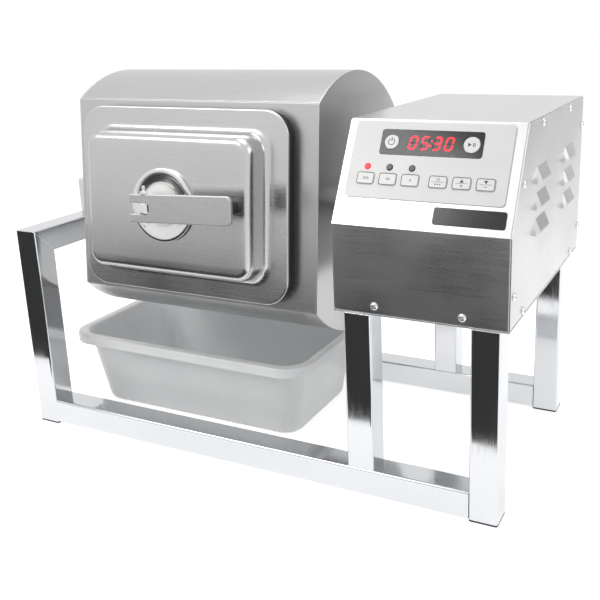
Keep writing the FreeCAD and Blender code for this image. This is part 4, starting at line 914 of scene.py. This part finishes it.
def stroke(start, end):
    """One stroke: a bar with pointed ends, leaned as the digit leans."""
    first = Vector((start[0] * DIGIT_WIDTH, (start[1] - 1) * DIGIT_HEIGHT / 2))
    last = Vector((end[0] * DIGIT_WIDTH, (end[1] - 1) * DIGIT_HEIGHT / 2))
    along = (last - first).normalized()
    side = Vector((-along.y, along.x)) * STROKE_WIDTH / 2
    gap = along * 0.25 * MM
    point = along * STROKE_WIDTH / 2
    outline = [first + gap, first + gap + point - side, last - gap - point - side, last - gap,
               last - gap - point + side, first + gap + point + side]
    return [(spot.x + spot.y * DIGIT_SLANT, spot.y) for spot in outline]


def make_display():
    """Four seven-stroke digits with a colon; the strokes that are off stay faintly visible."""
    low, high = extent("display_window", PANEL)
    centre = (low + high) / 2
    lit, unlit = [], []
    for index, digit in enumerate("0530"):
        across = (index - 1.5) * DIGIT_PITCH - DIGIT_WIDTH / 2
        place = Matrix.Translation((across, 0, 0))
        for name, (start, end) in STROKES.items():
            bar = prism("stroke", stroke(start, end), 0, PRINT)
            (lit if name in LIT[digit] else unlit).append((bar, place))
    for up in (-1, 1):
        spot = Matrix.Translation((up * DIGIT_HEIGHT / 5 * DIGIT_SLANT, up * DIGIT_HEIGHT / 5, 0))
        lit.append((prism("dot", circle_of(0.9 * MM, 20), 0, PRINT), spot))
    place = PANEL @ Matrix.Translation((centre.x, centre.y, high.z))
    piece("lit_strokes", joined("lit_strokes", lit), place, "frame", "digit")
    piece("unlit_strokes", joined("unlit_strokes", unlit), place, "frame", "unlit")


# ---------------------------------------------------------------- stage, light and camera

FLOOR_SIZE = 14
FLOOR_GLOW = 0.62
FILL_LIGHT = 0.45
CARD_SHADE = 0.05
# the camera's azimuth, elevation and roll in degrees, its place, and its lens
CAMERA_TURN = (26.01, 15.43, -1.63)
CAMERA_PLACE = (0.48365, -0.8580, 0.4901)
CAMERA_SENSOR = 36
CAMERA_LENS = 49.94
CAMERA_SHIFT = (-0.0783, -0.0881)


def stage_plane(name, size, place, look):
    """A flat stage piece, not part of the object."""
    builder = bmesh.new()
    half_x, half_y = size[0] / 2, size[1] / 2
    corners = ((-half_x, -half_y), (half_x, -half_y), (half_x, half_y), (-half_x, half_y))
    builder.faces.new([builder.verts.new((x, y, 0)) for x, y in corners])
    mesh = bpy.data.meshes.new(name)
    builder.to_mesh(mesh)
    builder.free()
    item = bpy.data.objects.new(name, mesh)
    bpy.context.scene.collection.objects.link(item)
    item.matrix_world = place
    mesh.materials.append(look)
    return item


def seen_directly(tree):
    """1 for a ray from the camera, a reflection or glass, and 0 for any other ray."""
    path = tree.nodes.new("ShaderNodeLightPath")
    found = path.outputs["Is Camera Ray"]
    for kind in ("Is Glossy Ray", "Is Transmission Ray"):
        either = tree.nodes.new("ShaderNodeMath")
        either.operation = "MAXIMUM"
        tree.links.new(found, either.inputs[0])
        tree.links.new(path.outputs[kind], either.inputs[1])
        found = either.outputs[0]
    return found


def white_where_seen(surface, glow):
    """Light that only the camera, reflections and glass see, so that the backdrop is white."""
    strength = surface.add("Math", {1: glow}, operation="MULTIPLY")
    surface.link(seen_directly(surface.tree), strength.inputs[0])
    return strength.outputs[0]


def make_floor():
    surface = Surface("floor_pale", Roughness=0.9)
    surface.shader.inputs["Specular IOR Level"].default_value = 0.0
    surface.link(surface.tint(surface.noise(3), (0.86, 0.86, 0.86), (0.88, 0.88, 0.88)),
                 surface.shader.inputs["Base Color"])
    surface.shader.inputs["Emission Color"].default_value = (1, 1, 1, 1)
    surface.link(white_where_seen(surface, FLOOR_GLOW), surface.shader.inputs["Emission Strength"])
    stage_plane("floor", (FLOOR_SIZE, FLOOR_SIZE), Matrix(), surface.material)


def make_flag(name, size, place, aim):
    """A dark card that only reflections see: it gives polished metal its darks."""
    surface = Surface(name, Roughness=1.0)
    surface.shader.inputs["Base Color"].default_value = (CARD_SHADE,) * 3 + (1,)
    surface.shader.inputs["Specular IOR Level"].default_value = 0.0
    turn = (aim - place).to_track_quat("Z", "Y").to_matrix().to_4x4()
    card = stage_plane(name, size, Matrix.Translation(place) @ turn, surface.material)
    card.visible_camera = False
    card.visible_diffuse = False
    card.visible_shadow = False
    card.visible_transmission = False


def make_lamp(name, size, place, aim, power):
    data = bpy.data.lights.new(name, "AREA")
    data.shape = "RECTANGLE"
    data.size, data.size_y = size
    data.energy = power
    lamp = bpy.data.objects.new(name, data)
    bpy.context.scene.collection.objects.link(lamp)
    lamp.location = place
    lamp.rotation_euler = (aim - place).to_track_quat("-Z", "Y").to_euler()


def make_world():
    """A white surround for the camera and reflections, and an even grey fill for everything else."""
    world = bpy.data.worlds.new("studio")
    bpy.context.scene.world = world
    world.use_nodes = True
    tree = world.node_tree
    back = tree.nodes["Background"]
    back.inputs["Color"].default_value = (1, 1, 1, 1)
    level = tree.nodes.new("ShaderNodeMapRange")
    level.inputs["To Min"].default_value = FILL_LIGHT
    level.inputs["To Max"].default_value = 1.0
    tree.links.new(seen_directly(tree), level.inputs["Value"])
    tree.links.new(level.outputs["Result"], back.inputs["Strength"])


def make_camera():
    """The photograph's view: from the right, a little above, with a slight roll."""
    azimuth, elevation, roll = (math.radians(angle) for angle in CAMERA_TURN)
    forward = Vector((-math.sin(azimuth) * math.cos(elevation),
                      math.cos(azimuth) * math.cos(elevation), -math.sin(elevation)))
    side = forward.cross(Vector((0, 0, 1))).normalized()
    above = side.cross(forward)
    across = math.cos(roll) * side + math.sin(roll) * above
    upward = math.cos(roll) * above - math.sin(roll) * side
    data = bpy.data.cameras.new("camera")
    data.sensor_width = CAMERA_SENSOR
    data.lens = CAMERA_LENS
    data.shift_x, data.shift_y = CAMERA_SHIFT
    data.clip_start = 0.05
    camera = bpy.data.objects.new("camera", data)
    bpy.context.scene.collection.objects.link(camera)
    turn = Matrix((across, upward, -forward)).transposed().to_4x4()
    camera.matrix_world = Matrix.Translation(CAMERA_PLACE) @ turn
    bpy.context.scene.camera = camera


def make_stage():
    make_floor()
    make_world()
    centre = (cad_box[0] + cad_box[1]) / 2
    low_place = Vector((-0.75, -1.25, 0.004))
    make_lamp("key_lamp", (1.1, 0.8), Vector((-0.9, -1.3, 1.5)), centre, 13)
    make_lamp("top_lamp", (1.2, 1.2), Vector((0.1, 0.1, 1.9)), centre, 10)
    make_lamp("side_lamp", (0.8, 1.0), Vector((1.6, 0.2, 0.9)), centre, 5)
    make_flag("low_flag", (2.2, 1.9), low_place, low_place + Vector((0, 0, 1)))
    make_flag("rear_flag", (0.5, 1.6), Vector((1.1, 1.4, 0.5)), centre)
    make_camera()
    bpy.context.scene.view_settings.view_transform = "Standard"


dress_nodes()
make_lid()
make_gasket()
make_dish()
make_plug()
make_stem()
make_lever()
make_pin()
make_bumper()
make_tray()
make_screws()
make_key_caps()
make_key_print()
make_display()
make_stage()
